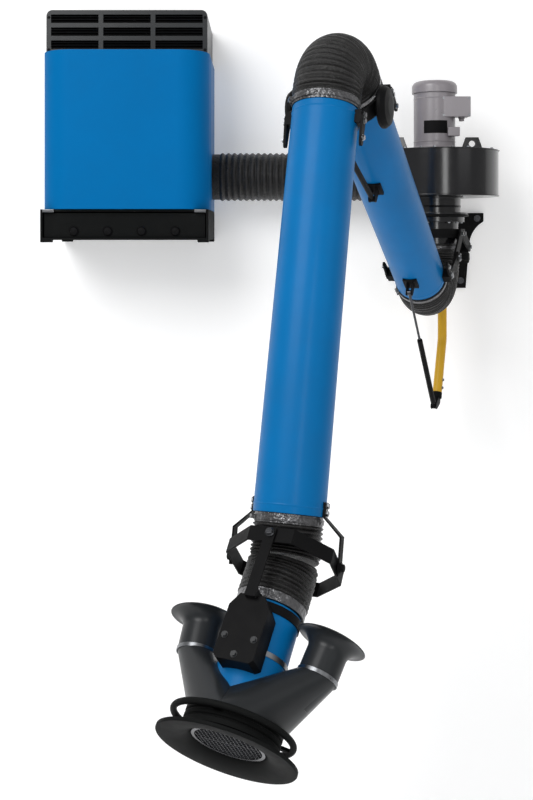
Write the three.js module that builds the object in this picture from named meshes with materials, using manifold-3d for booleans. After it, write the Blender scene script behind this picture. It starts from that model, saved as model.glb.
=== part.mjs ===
// Fume extraction arm with its wall fan, duct and filter cabinet.
// Units are millimetres and degrees. X runs right along the wall, Y runs into the wall and Z is up.
// The origin is the middle of the back face of the arm's wall plate.

import * as THREE from 'three';
import { mergeVertices } from 'three/addons/utils/BufferGeometryUtils.js';
import Module from 'manifold-3d';

// Clearances shared by all fits
const seatGap = 0.3;
const runningGap = 0.5;
const pivotGap = 0.4;
const cutMargin = 1;

// Round pieces
const tubeSides = 18;
const hoseSides = 12;
const smallSides = 8;
const hornSides = 14;
const dishSides = 28;
const barSides = 8;
const gimbalSides = 8;
const handleTubeSides = 6;

// Steps that draw a curve
const plateSteps = 6;
const coverSteps = 8;
const domeSteps = 4;
const knobLobeSteps = 6;
const leverBendSteps = 4;
const forkSteps = 8;

// Pose of the arm
const swivelAngle = -21;
const innerRise = 33.2;
const elbowTurn = 17.4;
const hoodTilt = 27.7;
const hoodSwing = 2.9;

// Arm tubes and the hoses that join them
const tubeRadius = 101.5;
const tubeWall = 2;
const innerTubeLength = 1200;
const outerTubeLength = 1200;
const spigotRadius = 95;
const spigotLength = 45;
const spigotTaper = 12;
const hoseLead = 56;
const shoulderBendRadius = 140;
const elbowBendRadius = 130;
const cuffRadius = 103;
const ribRadius = 108.5;
const valleyRadius = 101.5;
const cuffLength = 30;
const ribPitch = 20;
const boreEvery = 3;
const ductRibPitch = 27;
const clampWidth = 14;
const clampThickness = 3;
const clampInset = 8;

// Wall plate and bracket
const plateOffset = 40;
const plateHalfWidth = 245;
const plateWaistHalfWidth = 176;
const plateFootHalfWidth = 162;
const plateHalfHeight = 175;
const plateShoulder = 40;
const plateThickness = 10;
const swivelReach = 380;
const shelfTop = 160;
const shelfThickness = 10;
const shelfHalfWidth = 145;
const shelfHole = 106;
const gussetSpread = 110;
const gussetThickness = 10;
const gussetReach = 150;
const gussetDrop = 290;

// Swivel bearing and duct
const bearingRadius = 128;
const bearingHeight = 22;
const bearingLip = 9.5;
const bearingPlay = 1.5;
const collarRadius = 115;
const collarHeight = 7;
const swivelDuctBottom = 35;

// Fan housing
const inletHeight = 77;
const inletRadius = 112;
const inletBore = 98;
const inletFootRadius = 142;
const inletHeadRadius = 123;
const inletFlange = 8;
const scrollHeight = 194;
const scrollStartRadius = 200;
const scrollEndRadius = 307;
const scrollWall = 4;
const scrollSteps = 24;
const outletEdge = 116;
const outletFace = 180;
const outletLength = 80;
const outletWall = 3;
const lidThickness = 4;
const lidFlange = 6;
const lugSpacing = 162;
const lugHeight = 60;
const lugHalfWidth = 50;
const lugTopHalfWidth = 28;
const lugThickness = 10;
const lugHoleRadius = 14;
const lugHoleRise = 32;

// Motor and rotor
const motorRadius = 89;
const motorHeight = 247;
const motorFootRadius = 100;
const motorFootHeight = 12;
const motorSocket = 35;
const capRadius = 97;
const capHeight = 52;
const capSkirt = 26;
const terminalLeft = 18;
const terminalRight = 142;
const terminalFront = 85;
const terminalBack = 5;
const terminalRise = 141;
const terminalHeight = 86;
const shaftRadius = 12;
const shaftCollarRadius = 20;
const shaftCollarHeight = 8;
const shaftPassRadius = 26;
const impellerRadius = 150;
const impellerEyeRadius = 96;
const impellerHubRadius = 30;
const impellerHubHeight = 32;
const impellerDisc = 4;
const impellerTopGap = 30;
const impellerHeight = 138;
const bladeCount = 8;
const bladeThickness = 4;
const bladeLean = 35;

// Filter cabinet
const cabinetRight = 970;
const cabinetWidth = 705;
const cabinetDepth = 296;
const cabinetBottom = 180;
const cabinetTop = 847;
const cabinetWall = 8;
const coverDepth = 264;
const coverCorner = 130;
const coverWall = 4;
const grilleInset = 9;
const grilleHeight = 185;
const grilleDepth = 450;
const grilleCorner = 26;
const grilleWall = 6;
const grilleColumns = 3;
const grilleRows = 3;
const grilleBar = 20;
const grilleSlotHeight = 36;
const tubeSheetDrop = 57;
const cartridgeRadius = 125;
const cartridgeBore = 75;
const cartridgeBottom = 260;
const cartridgeBack = 150;
const baseHeight = 129;
const baseDepth = 540;
const baseWall = 10;
const footSize = 46;
const footHeight = 10;
const drawerDepth = 490;
const drawerRecess = 14;
const drawerSide = 4;
const drawerHeight = 104;
const drawerFront = 12;
const drawerWall = 4;

// Pivots of the arm
const forkInside = 116;
const yokeInside = 126;
const plateGauge = 8;
const pivotRadius = 10;
const pivotHeadRadius = 17;
const pivotHeadLength = 12;
const pivotEyeRadius = 25;
const forkRingRadius = 118;
const forkRingBottom = 60;
const forkRingTop = 98;
const forkRearReach = 182;
const forkRearThickness = 42;
const forkRearTop = 40;
const forkFootHalf = 48;
const bandGauge = 5;
const bandWidth = 40;
const bandInset = 10;
const spacerHalfHeight = 20;
const yokeTip = 110;
const knobRadius = 24;
const knobLength = 30;
const knobLobes = 5;
const knobLobeDepth = 5;
const knobStem = 12;
const knobStemRadius = 11;

// Balance lever and gas springs
const leverRadius = 20;
const leverSetback = 160;
const leverDrop = 391;
const leverBendRadius = 80;
const leverEndSetback = 45;
const leverEndDrop = 640;
const liftEyeSetback = -8;
const liftEyeDrop = 667;
const liftPadAlong = 134;
const elbowPadAlong = 780;
const padEyeDrop = 145;
const padLength = 60;
const padHalfWidth = 28;
const padThickness = 6;
const padCheekHalf = 20;
const elbowEyeBack = 12;
const elbowEyeDrop = 85;
const eyeRadius = 11;
const eyeHalfThickness = 7;
const cheekGap = 8;
const cheekGauge = 5;
const cheekRadius = 13;
const eyePinRadius = 5;
const clevisRoot = 18;
const liftCylinderRadius = 11;
const liftCylinderLength = 388;
const elbowCylinderRadius = 9.5;
const elbowCylinderLength = 250;
const cylinderStart = 24;
const cylinderFloor = 8;
const cylinderGland = 10;
const cylinderWall = 2.5;
const springRodRadius = 5;
const springNeckRadius = 6.5;
const pistonLength = 12;
const pistonGap = 0.4;
const liftPistonAt = 200;
const elbowPistonAt = 122;

// Hood joint
const hoodSpigotRadius = 86;
const hoodCuffRadius = 94;
const hoodRibRadius = 98.5;
const hoodValleyRadius = 92.5;
const hoodCuffLength = 26;
const hoodDrop = 128;
const hoodBendLead = 60;
const hoseSplitGap = 5.5;
const ringReach = 146;
const ringGauge = 5;
const ringHalfHeight = 21;
const gimbalPinRadius = 8;
const gimbalPinLength = 19;
const strapGap = 3;
const strapGauge = 5;
const strapHalfWidth = 15;
const strapRise = 40;
const strapKneeDrop = 47;
const strapTail = 22;

// Hood
const hoodNeckTop = 149;
const hoodNeckRadius = 88;
const hoodNeckWall = 3;
const plenumTop = 440;
const plenumBottom = 490;
const plenumRadius = 127;
const plenumBore = 84;
const grooveCount = 2;
const grooveDepth = 4;
const grooveWidth = 7;
const dishPlane = 517;
const dishRadius = 184;
const dishThroat = 99;
const dishWall = 6;
const dishLip = 9;
const dishSteps = 4;
const grilleGuardRadius = 97;
const grilleGuardRing = 9;
const grilleGuardHeight = 6;
const grilleGuardBars = 4;
const grilleGuardBar = 5;
const handleRadius = 157;
const handleTubeRadius = 8.5;
const handleLift = 60;
const handleStays = 3;
const handleStayTurn = 30;
const handleStayHalfWidth = 10;
const handleStayHalfHeight = 4;
const handleSides = 24;
const hangerGauge = 5;
const hangerHalfWidth = 15;
const hangerHead = 16;
const hangerBandTop = 155;
const hangerBandHeight = 24;
const hangerBandGauge = 4;
const saddleTop = 168;
const saddleBottom = 342;
const saddleHalfWidth = 55;
const saddleTopHalfWidth = 34;
const saddleShoulder = 34;
const saddleFront = 140;
const saddleCorner = 10;

// Air supply horns at the sides of the hood
const hornSpread = 183;
const hornSetback = 18;
const hornDrop = 187;
const hornSplay = 7.5;
const hornRimRadius = 90;
const hornThroatRadius = 50;
const hornWall = 3;
const hornFlare = 36;
const hornLength = 98;
const hornSteps = 4;
const forkDrop = 391;
const forkRadius = 100;
const spiderArms = 3;
const spiderArmHalfWidth = 4;
const spiderHeight = 8;
const spiderHubRadius = 14;
const supplyShaftRadius = 4;
const supplyHubRadius = 15;
const supplyHubHeight = 20;
const supplyBladeRadius = 46;
const supplyBladeCount = 5;
const supplyBladeWidth = 24;
const supplyBladeGauge = 2.5;
const supplyBladePitch = 35;

// Finishes as seen in the photograph
const finishes = {
  blue: { color: 0x0f6cae, roughness: 0.4, metalness: 0.1 },
  black: { color: 0x1d1d1f, roughness: 0.5, metalness: 0.2 },
  glossBlack: { color: 0x242428, roughness: 0.25, metalness: 0.4 },
  grey: { color: 0x837e83, roughness: 0.5, metalness: 0.3 },
  steel: { color: 0xa6a8ab, roughness: 0.35, metalness: 0.9 },
  yellow: { color: 0xc8a030, roughness: 0.45, metalness: 0.1 },
  rubber: { color: 0x1b1a1a, roughness: 0.8, metalness: 0 },
  paper: { color: 0xd6d2c4, roughness: 0.9, metalness: 0 },
};

const wasm = await Module();
wasm.setup();

const radians = THREE.MathUtils.degToRad;

// Closed solid from a three.js geometry, with its faces turned outwards
function solidOf(geometry) {
  geometry.deleteAttribute('normal');
  geometry.deleteAttribute('uv');
  const welded = mergeVertices(geometry);
  const corners = welded.index.array;
  const kept = [];
  for (let i = 0; i < corners.length; i += 3) {
    const [a, b, c] = [corners[i], corners[i + 1], corners[i + 2]];
    if (a !== b && b !== c && c !== a) kept.push(a, b, c);
  }
  const points = welded.attributes.position.array;
  const build = (order) => new wasm.Manifold(new wasm.Mesh({
    numProp: 3,
    vertProperties: new Float32Array(points),
    triVerts: new Uint32Array(order),
  }));
  const solid = build(kept);
  if (solid.volume() > 0) return solid;
  return build(kept.toReversed());
}

// Geometry of a solid, ready for a mesh
function geometryOf(solid) {
  const mesh = solid.getMesh();
  const geometry = new THREE.BufferGeometry();
  geometry.setAttribute('position', new THREE.BufferAttribute(new Float32Array(mesh.vertProperties), 3));
  geometry.setIndex(new THREE.BufferAttribute(new Uint32Array(mesh.triVerts), 1));
  geometry.computeVertexNormals();
  return geometry;
}

function piece(parent, name, solid, finish) {
  const mesh = new THREE.Mesh(geometryOf(solid), new THREE.MeshStandardMaterial(finishes[finish]));
  mesh.name = name;
  parent.add(mesh);
  return mesh;
}

function frame(parent, x, y, z) {
  const group = new THREE.Group();
  group.position.set(x, y, z);
  parent.add(group);
  return group;
}

function block(x, y, z) {
  const geometry = new THREE.BoxGeometry(x[1] - x[0], y[1] - y[0], z[1] - z[0]);
  geometry.translate((x[0] + x[1]) / 2, (y[0] + y[1]) / 2, (z[0] + z[1]) / 2);
  return solidOf(geometry);
}

// Solid of revolution about Z, from points of radius and height
function turned(profile, sides = tubeSides) {
  const points = profile.map(([radius, height]) => new THREE.Vector2(radius, height));
  const onAxis = profile[0][0] === 0;
  if (!onAxis) points.push(points[0].clone());
  const geometry = new THREE.LatheGeometry(points, sides);
  geometry.rotateX(Math.PI / 2);
  return solidOf(geometry);
}

const ring = (inside, outside, low, high, sides = tubeSides) => turned(
  [[inside, low], [outside, low], [outside, high], [inside, high]], sides);

const disc = (radius, low, high, sides = tubeSides) => turned(
  [[0, low], [radius, low], [radius, high], [0, high]], sides);

// Round bar along X, Y or Z through a point of the other two axes
function rod(axis, radius, span, centre, sides = smallSides) {
  const geometry = new THREE.CylinderGeometry(radius, radius, span[1] - span[0], sides);
  const middle = (span[0] + span[1]) / 2;
  if (axis === 'x') {
    geometry.rotateZ(Math.PI / 2);
    geometry.translate(middle, centre[0], centre[1]);
  } else if (axis === 'y') {
    geometry.translate(centre[0], middle, centre[1]);
  } else {
    geometry.rotateX(Math.PI / 2);
    geometry.translate(centre[0], centre[1], middle);
  }
  return solidOf(geometry);
}

// Flat plate: a shape drawn in the plane across the given axis, from the low to the high end of the span
function plate(axis, shape, span, segments = plateSteps) {
  const corners = (list) => new THREE.Shape(list.map(([u, v]) => new THREE.Vector2(u, v)));
  const outline = Array.isArray(shape) ? corners(shape) : shape;
  const options = { depth: span[1] - span[0], bevelEnabled: false, curveSegments: segments };
  const geometry = new THREE.ExtrudeGeometry(outline, options);
  const up = new THREE.Vector3(0, 0, 1);
  const [right, back] = [new THREE.Vector3(1, 0, 0), new THREE.Vector3(0, 1, 0)];
  const matrix = new THREE.Matrix4();
  if (axis === 'x') {
    matrix.makeBasis(back, up, right).setPosition(span[0], 0, 0);
  } else if (axis === 'y') {
    matrix.makeBasis(right, up, back.negate()).setPosition(0, span[1], 0);
  } else {
    matrix.setPosition(0, 0, span[0]);
  }
  geometry.applyMatrix4(matrix);
  return solidOf(geometry);
}

// Plate with straight sides and a round end about each listed point, like a link
function link(axis, ends, span) {
  const hull = [];
  for (const [u, v, radius] of ends) {
    for (let step = 0; step < smallSides; step += 1) {
      const turn = (2 * Math.PI * step) / smallSides;
      hull.push([u + radius * Math.cos(turn), v + radius * Math.sin(turn)]);
    }
  }
  return plate(axis, convexOutline(hull), span);
}

// Points on the outside of a set, in order round it
function convexOutline(points) {
  const sorted = points.toSorted((a, b) => a[0] - b[0] || a[1] - b[1]);
  const turnOf = (o, a, b) => (a[0] - o[0]) * (b[1] - o[1]) - (a[1] - o[1]) * (b[0] - o[0]);
  const half = (list) => {
    const edge = [];
    for (const point of list) {
      while (edge.length > 1 && turnOf(edge.at(-2), edge.at(-1), point) <= 1e-6) edge.pop();
      edge.push(point);
    }
    edge.pop();
    return edge;
  };
  return [...half(sorted), ...half(sorted.toReversed())];
}

// Solid from rings of points: closed ends make a bar, and a loop of rings makes a pipe
function ringSolid(rings, closedLoop) {
  const count = rings[0].length;
  const positions = rings.flat().flatMap((point) => point.toArray());
  const corners = [];
  const last = closedLoop ? rings.length : rings.length - 1;
  for (let i = 0; i < last; i += 1) {
    const next = (i + 1) % rings.length;
    for (let j = 0; j < count; j += 1) {
      const side = (j + 1) % count;
      const [a, b] = [i * count + j, i * count + side];
      const [c, d] = [next * count + j, next * count + side];
      corners.push(a, b, d, a, d, c);
    }
  }
  if (!closedLoop) {
    for (let j = 1; j < count - 1; j += 1) {
      const far = (rings.length - 1) * count;
      corners.push(0, j + 1, j, far, far + j, far + j + 1);
    }
  }
  const geometry = new THREE.BufferGeometry();
  geometry.setAttribute('position', new THREE.Float32BufferAttribute(positions, 3));
  geometry.setIndex(corners);
  return solidOf(geometry);
}

// Path in a plane: a straight lead, a bend of the given radius and sweep, and a straight tail
function bendPath(start, heading, lead, radius, sweep, tail) {
  const turn = Math.sign(sweep);
  const arc = Math.abs(sweep) * radius;
  const step = (point, angle, length) => [
    point[0] + length * Math.cos(angle), point[1] + length * Math.sin(angle)];
  const bendStart = step(start, heading, lead);
  const centre = step(bendStart, heading + (turn * Math.PI) / 2, radius);
  const bendEnd = step(centre, heading + sweep - (turn * Math.PI) / 2, radius);
  const at = (distance) => {
    if (distance <= lead || arc === 0) return { point: step(start, heading, distance), heading };
    if (distance >= lead + arc) {
      return { point: step(bendEnd, heading + sweep, distance - lead - arc), heading: heading + sweep };
    }
    const turned = (turn * (distance - lead)) / radius;
    return {
      point: step(centre, heading + turned - (turn * Math.PI) / 2, radius),
      heading: heading + turned,
    };
  };
  return { length: lead + arc + tail, lead, arc, at };
}

// Ring of points round a path that lies in the plane across the given axis
function pathRing(path, distance, radius, axis, offset, sides) {
  const { point, heading } = path.at(distance);
  const points = [];
  for (let j = 0; j < sides; j += 1) {
    const turn = (2 * Math.PI * (j + 0.5)) / sides;
    const across = radius * Math.cos(turn);
    const out = radius * Math.sin(turn);
    const u = point[0] - Math.sin(heading) * across;
    const v = point[1] + Math.cos(heading) * across;
    const place = axis === 'x' ? [offset + out, u, v] : [u, offset + out, v];
    points.push(new THREE.Vector3(...place));
  }
  return points;
}

// Distances along a path where a smooth pipe needs a ring
function pathStations(path, bendSteps) {
  const stations = [0];
  for (let i = 0; i <= bendSteps && path.arc > 0; i += 1) {
    stations.push(path.lead + (path.arc * i) / bendSteps);
  }
  if (path.length > stations.at(-1) + cutMargin) stations.push(path.length);
  return stations;
}

function pathBar(path, radius, axis, offset, bendSteps, sides = barSides) {
  const rings = pathStations(path, bendSteps).map((s) => pathRing(path, s, radius, axis, offset, sides));
  return ringSolid(rings, false);
}

// Ribbed hose with plain cuffs at its ends and an open bore
function ribbedHose(path, sizes, axis, offset) {
  const { bore, cuff, rib, valley, spacing, cuffAt } = sizes;
  const [first, last] = [cuffAt[0], path.length - cuffAt[1]];
  const ribs = Math.max(2, Math.round((last - first) / spacing));
  const pitch = (last - first) / ribs;
  const outside = [];
  const inside = [];
  const ringAt = (distance, radius) => pathRing(path, distance, radius, axis, offset, hoseSides);
  if (cuffAt[0] > 0) outside.push(ringAt(0, cuff));
  for (let i = 0; i < ribs; i += 1) {
    outside.push(ringAt(first + i * pitch, i === 0 ? cuff : valley));
    outside.push(ringAt(first + (i + 0.5) * pitch, rib));
  }
  outside.push(ringAt(last, cuff));
  if (cuffAt[1] > 0) outside.push(ringAt(path.length, cuff));
  const bendRings = Math.ceil(path.arc / (boreEvery * pitch));
  for (const station of pathStations(path, bendRings)) inside.push(ringAt(station, bore));
  return ringSolid([...outside, ...inside.toReversed()], true);
}

// Round shapes drawn with few sides lie inside their circle, so bores over them are drawn wider
const flatReach = 1 / Math.cos(Math.PI / hoseSides);
const boreOver = (radius, gap, sides = smallSides) => (radius + gap) / Math.cos(Math.PI / sides);

const armHose = {
  bore: (spigotRadius + seatGap) * flatReach,
  cuff: cuffRadius,
  rib: ribRadius,
  valley: valleyRadius,
  spacing: ribPitch,
  cuffAt: [cuffLength, cuffLength],
};

const hoodHose = {
  bore: (hoodSpigotRadius + seatGap) * flatReach,
  cuff: hoodCuffRadius,
  rib: hoodRibRadius,
  valley: hoodValleyRadius,
  spacing: ribPitch,
};

const root = new THREE.Group();

// Heights that follow from the stack on the shelf
const shelfBottom = shelfTop - shelfThickness;
const scrollBottom = shelfTop + inletHeight;
const scrollTop = scrollBottom + scrollHeight;
const lidTop = scrollTop + lidThickness;
const motorTop = lidTop + motorHeight;
const outletMiddle = (outletEdge + scrollEndRadius) / 2;
const outletHalfWidth = (scrollEndRadius - outletEdge) / 2;
const outletCentre = [-swivelReach + outletMiddle, scrollBottom + scrollHeight / 2];

// Plate on the wall, wide at the top and narrowing in a curve
function wallPlate() {
  const shape = new THREE.Shape();
  const curveTop = plateHalfHeight - plateShoulder;
  shape.moveTo(-plateFootHalfWidth, -plateHalfHeight);
  shape.lineTo(plateFootHalfWidth, -plateHalfHeight);
  shape.lineTo(plateWaistHalfWidth, 0);
  shape.quadraticCurveTo(plateWaistHalfWidth, curveTop - plateShoulder, plateHalfWidth, curveTop);
  shape.lineTo(plateHalfWidth, plateHalfHeight);
  shape.lineTo(-plateHalfWidth, plateHalfHeight);
  shape.lineTo(-plateHalfWidth, curveTop);
  shape.quadraticCurveTo(-plateWaistHalfWidth, curveTop - plateShoulder, -plateWaistHalfWidth, 0);
  shape.closePath();
  return plate('y', shape, [-plateThickness, 0]).translate([plateOffset, 0, 0]);
}

// Shelf that carries the fan above and the swivel below, on two gussets
function bracketFrame() {
  const shape = new THREE.Shape();
  shape.moveTo(-shelfHalfWidth, -plateThickness);
  shape.lineTo(-shelfHalfWidth, -swivelReach);
  shape.absarc(0, -swivelReach, shelfHalfWidth, Math.PI, 2 * Math.PI, false);
  shape.lineTo(shelfHalfWidth, -plateThickness);
  shape.closePath();
  let solid = plate('z', shape, [shelfBottom, shelfTop], tubeSides / 2);
  solid = solid.subtract(rod('z', shelfHole, [shelfBottom - cutMargin, shelfTop + cutMargin],
    [0, -swivelReach], tubeSides));
  for (const side of [-1, 1]) {
    const middle = side * gussetSpread;
    const outline = [[-plateThickness, shelfBottom], [-plateThickness, shelfBottom - gussetDrop],
      [-plateThickness - gussetThickness, shelfBottom - gussetDrop],
      [-plateThickness - gussetReach, shelfBottom]];
    solid = solid.add(plate('x', outline, [middle - gussetThickness / 2, middle + gussetThickness / 2]));
  }
  return solid;
}

// Bearing ring under the shelf, with a groove for the collar of the swivel duct
const collarBottom = shelfBottom - bearingHeight + bearingLip + runningGap;
const collarTop = collarBottom + collarHeight;
const bearingBore = boreOver(tubeRadius, bearingPlay, tubeSides);

function swivelBearing() {
  const low = shelfBottom - bearingHeight;
  const grooveRadius = boreOver(collarRadius, cutMargin, tubeSides);
  return turned([[bearingBore, low], [bearingRadius, low], [bearingRadius, shelfBottom],
    [bearingBore, shelfBottom], [bearingBore, collarTop + runningGap],
    [grooveRadius, collarTop + runningGap],
    [grooveRadius, collarBottom - runningGap], [bearingBore, collarBottom - runningGap]]);
}

function inletSpigot() {
  const foot = shelfTop + inletFlange;
  const head = scrollBottom - inletFlange;
  return turned([[inletBore, shelfTop], [inletFootRadius, shelfTop], [inletFootRadius, foot],
    [inletRadius, foot + inletFlange], [inletRadius, head - inletFlange], [inletHeadRadius, head],
    [inletHeadRadius, scrollBottom], [inletBore, scrollBottom]]);
}

// Outline of the fan scroll: a growing spiral that runs out into the outlet, drawn in by the inset
function scrollOutline(inset, face) {
  const startAngle = Math.PI - Math.asin(outletEdge / scrollStartRadius);
  const endAngle = 2.5 * Math.PI;
  const points = [];
  for (let i = 0; i <= scrollSteps; i += 1) {
    const share = i / scrollSteps;
    const angle = startAngle + (endAngle - startAngle) * share;
    const radius = scrollStartRadius + (scrollEndRadius - scrollStartRadius) * share - inset;
    points.push([radius * Math.cos(angle), radius * Math.sin(angle)]);
  }
  points.push([-face, scrollEndRadius - inset]);
  points.push([-face, outletEdge + inset]);
  points.push([points[0][0] + Math.max(inset, 0) / 2, outletEdge + inset]);
  if (inset === 0) points.pop();
  return points;
}

function fanScroll() {
  const shell = plate('z', scrollOutline(0, outletFace), [scrollBottom, scrollTop]);
  const room = plate('z', scrollOutline(scrollWall, outletFace + cutMargin),
    [scrollBottom + scrollWall, scrollTop + cutMargin]);
  const eye = disc(inletBore, scrollBottom - cutMargin, scrollBottom + scrollWall + cutMargin);
  return shell.subtract(room).subtract(eye);
}

// Lid of the scroll with two lifting lugs
function fanLid() {
  let solid = plate('z', scrollOutline(-lidFlange, outletFace), [scrollTop, lidTop]);
  solid = solid.subtract(disc(shaftPassRadius, scrollTop - cutMargin, lidTop + cutMargin));
  for (const side of [-1, 1]) {
    const middle = side * lugSpacing;
    const top = lidTop + lugHeight;
    const base = lidTop - lidThickness / 2;
    const outline = [[middle - lugHalfWidth, base], [middle + lugHalfWidth, base],
      [middle + lugTopHalfWidth, top], [middle - lugTopHalfWidth, top]];
    const lug = plate('y', outline, [-lugThickness / 2, lugThickness / 2]);
    const hole = rod('y', lugHoleRadius, [-lugThickness, lugThickness], [middle, lidTop + lugHoleRise]);
    solid = solid.add(lug.subtract(hole));
  }
  return solid;
}

// Sheet piece from the square fan outlet to the round duct
function outletTransition() {
  const [y, z] = outletCentre;
  const squareRing = (x, halfWidth, halfHeight) => Array.from({ length: tubeSides }, (_, i) => {
    const turn = (2 * Math.PI * i) / tubeSides;
    const reach = Math.max(Math.abs(Math.cos(turn)), Math.abs(Math.sin(turn)));
    const across = (halfWidth * Math.cos(turn)) / reach;
    const up = (halfHeight * Math.sin(turn)) / reach;
    return new THREE.Vector3(-x, y + across, z + up);
  });
  const roundRing = (x, radius) => Array.from({ length: tubeSides }, (_, i) => {
    const turn = (2 * Math.PI * i) / tubeSides;
    return new THREE.Vector3(-x, y + radius * Math.cos(turn), z + radius * Math.sin(turn));
  });
  const end = outletFace + outletLength;
  return ringSolid([
    squareRing(outletFace, outletHalfWidth, scrollHeight / 2),
    roundRing(end, tubeRadius),
    roundRing(end, spigotRadius),
    roundRing(end + spigotLength, spigotRadius),
    roundRing(end + spigotLength, spigotRadius - outletWall),
    roundRing(end, spigotRadius - outletWall),
    squareRing(outletFace, outletHalfWidth - outletWall, scrollHeight / 2 - outletWall),
  ], true);
}

function motorBody() {
  const foot = lidTop + motorFootHeight;
  const socket = boreOver(shaftRadius, runningGap);
  return turned([[0, lidTop + motorSocket], [socket, lidTop + motorSocket], [socket, lidTop],
    [motorFootRadius, lidTop], [motorFootRadius, foot], [motorRadius, foot], [motorRadius, motorTop],
    [0, motorTop]]);
}

// Fan cowl of the motor, with a rounded top edge
function motorCap() {
  const points = [[0, motorTop], [capRadius, motorTop]];
  const dome = capHeight - capSkirt;
  for (let i = 0; i <= domeSteps; i += 1) {
    const turn = (Math.PI / 2) * (i / domeSteps);
    points.push([capRadius - dome + dome * Math.cos(turn), motorTop + capSkirt + dome * Math.sin(turn)]);
  }
  points.push([0, motorTop + capHeight]);
  return turned(points);
}

function terminalBox() {
  const low = lidTop + terminalRise;
  const box = block([terminalLeft, terminalRight], [-terminalFront, -terminalBack],
    [low, low + terminalHeight]);
  return box.subtract(disc(motorRadius, low - cutMargin, low + terminalHeight + cutMargin));
}

// Fan wheel with leaned blades between its back disc and its eye ring
const wheelTop = scrollTop - impellerTopGap;
const wheelBottom = wheelTop - impellerHeight;

function impeller() {
  let solid = disc(impellerRadius, wheelTop - impellerDisc, wheelTop);
  solid = solid.add(disc(impellerHubRadius, wheelTop - impellerHubHeight, wheelTop, smallSides));
  solid = solid.add(ring(impellerEyeRadius, impellerRadius, wheelBottom, wheelBottom + impellerDisc));
  for (let i = 0; i < bladeCount; i += 1) {
    const length = impellerRadius - impellerEyeRadius;
    const height = impellerHeight - impellerDisc;
    const geometry = new THREE.BoxGeometry(length, bladeThickness, height);
    geometry.rotateZ(radians(bladeLean));
    geometry.translate((impellerRadius + impellerEyeRadius) / 2, 0, wheelTop - impellerHeight / 2);
    geometry.rotateZ((2 * Math.PI * i) / bladeCount);
    solid = solid.add(solidOf(geometry));
  }
  return solid;
}

function motorShaft() {
  const collar = wheelTop + shaftCollarHeight;
  const end = lidTop + motorSocket - runningGap;
  return turned([[0, wheelTop], [shaftCollarRadius, wheelTop], [shaftCollarRadius, collar],
    [shaftRadius, collar],
    [shaftRadius, end], [0, end]], smallSides);
}

// Filter cabinet, with X measured from the right side of the cabinet
const cabinetLeft = -cabinetRight - cabinetWidth;
const cabinetMiddle = -cabinetRight - cabinetWidth / 2;
const tubeSheetBottom = cabinetTop - tubeSheetDrop;

function cabinetBody() {
  const [left, right] = [cabinetLeft + cabinetWall, -cabinetRight - cabinetWall];
  let solid = block([cabinetLeft, -cabinetRight], [-cabinetDepth, 0], [cabinetBottom, cabinetTop]);
  const room = block([left, right], [-cabinetDepth - cutMargin, -cabinetWall],
    [cabinetBottom + cabinetWall, cabinetTop - cabinetWall]);
  const sheet = block([left - cutMargin, right + cutMargin], [-cabinetDepth, -cabinetWall + cutMargin],
    [tubeSheetBottom, tubeSheetBottom + cabinetWall]);
  solid = solid.subtract(room).add(sheet);
  solid = solid.subtract(rod('z', cartridgeBore, [tubeSheetBottom - cutMargin, cabinetTop + cutMargin],
    [cabinetMiddle, -cartridgeBack], tubeSides));
  const spigot = [-cabinetRight - cabinetWall / 2, -cabinetRight + spigotLength];
  const bore = [-cabinetRight - cabinetWall - cutMargin, -cabinetRight + spigotLength + cutMargin];
  solid = solid.add(rod('x', spigotRadius, spigot, outletCentre, tubeSides));
  return solid.subtract(rod('x', spigotRadius - tubeWall, bore, outletCentre, tubeSides));
}

function filterCartridge() {
  const floor = cartridgeBottom + cabinetWall;
  return turned([[0, cartridgeBottom], [cartridgeRadius, cartridgeBottom], [cartridgeRadius, tubeSheetBottom],
    [cartridgeBore, tubeSheetBottom], [cartridgeBore, floor], [0, floor]]);
}

// Front cover: a tray with round upright edges that closes the cabinet from the front
function coverOutline(inset, back) {
  const front = -cabinetDepth - seatGap - coverDepth + inset;
  const radius = coverCorner - inset;
  const [left, right] = [cabinetLeft + inset, -cabinetRight - inset];
  const shape = new THREE.Shape();
  shape.moveTo(left, back);
  shape.lineTo(left, front + radius);
  shape.absarc(left + radius, front + radius, radius, Math.PI, 1.5 * Math.PI, false);
  shape.absarc(right - radius, front + radius, radius, 1.5 * Math.PI, 2 * Math.PI, false);
  shape.lineTo(right, back);
  shape.closePath();
  return shape;
}

function frontCover() {
  const back = -cabinetDepth - seatGap;
  const [low, high] = [cabinetBottom + runningGap, cabinetTop - runningGap];
  const shell = plate('z', coverOutline(0, back), [low, high], coverSteps);
  const inside = [low + coverWall, high - coverWall];
  const room = plate('z', coverOutline(coverWall, back + cutMargin), inside, coverSteps);
  return shell.subtract(room);
}

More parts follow.
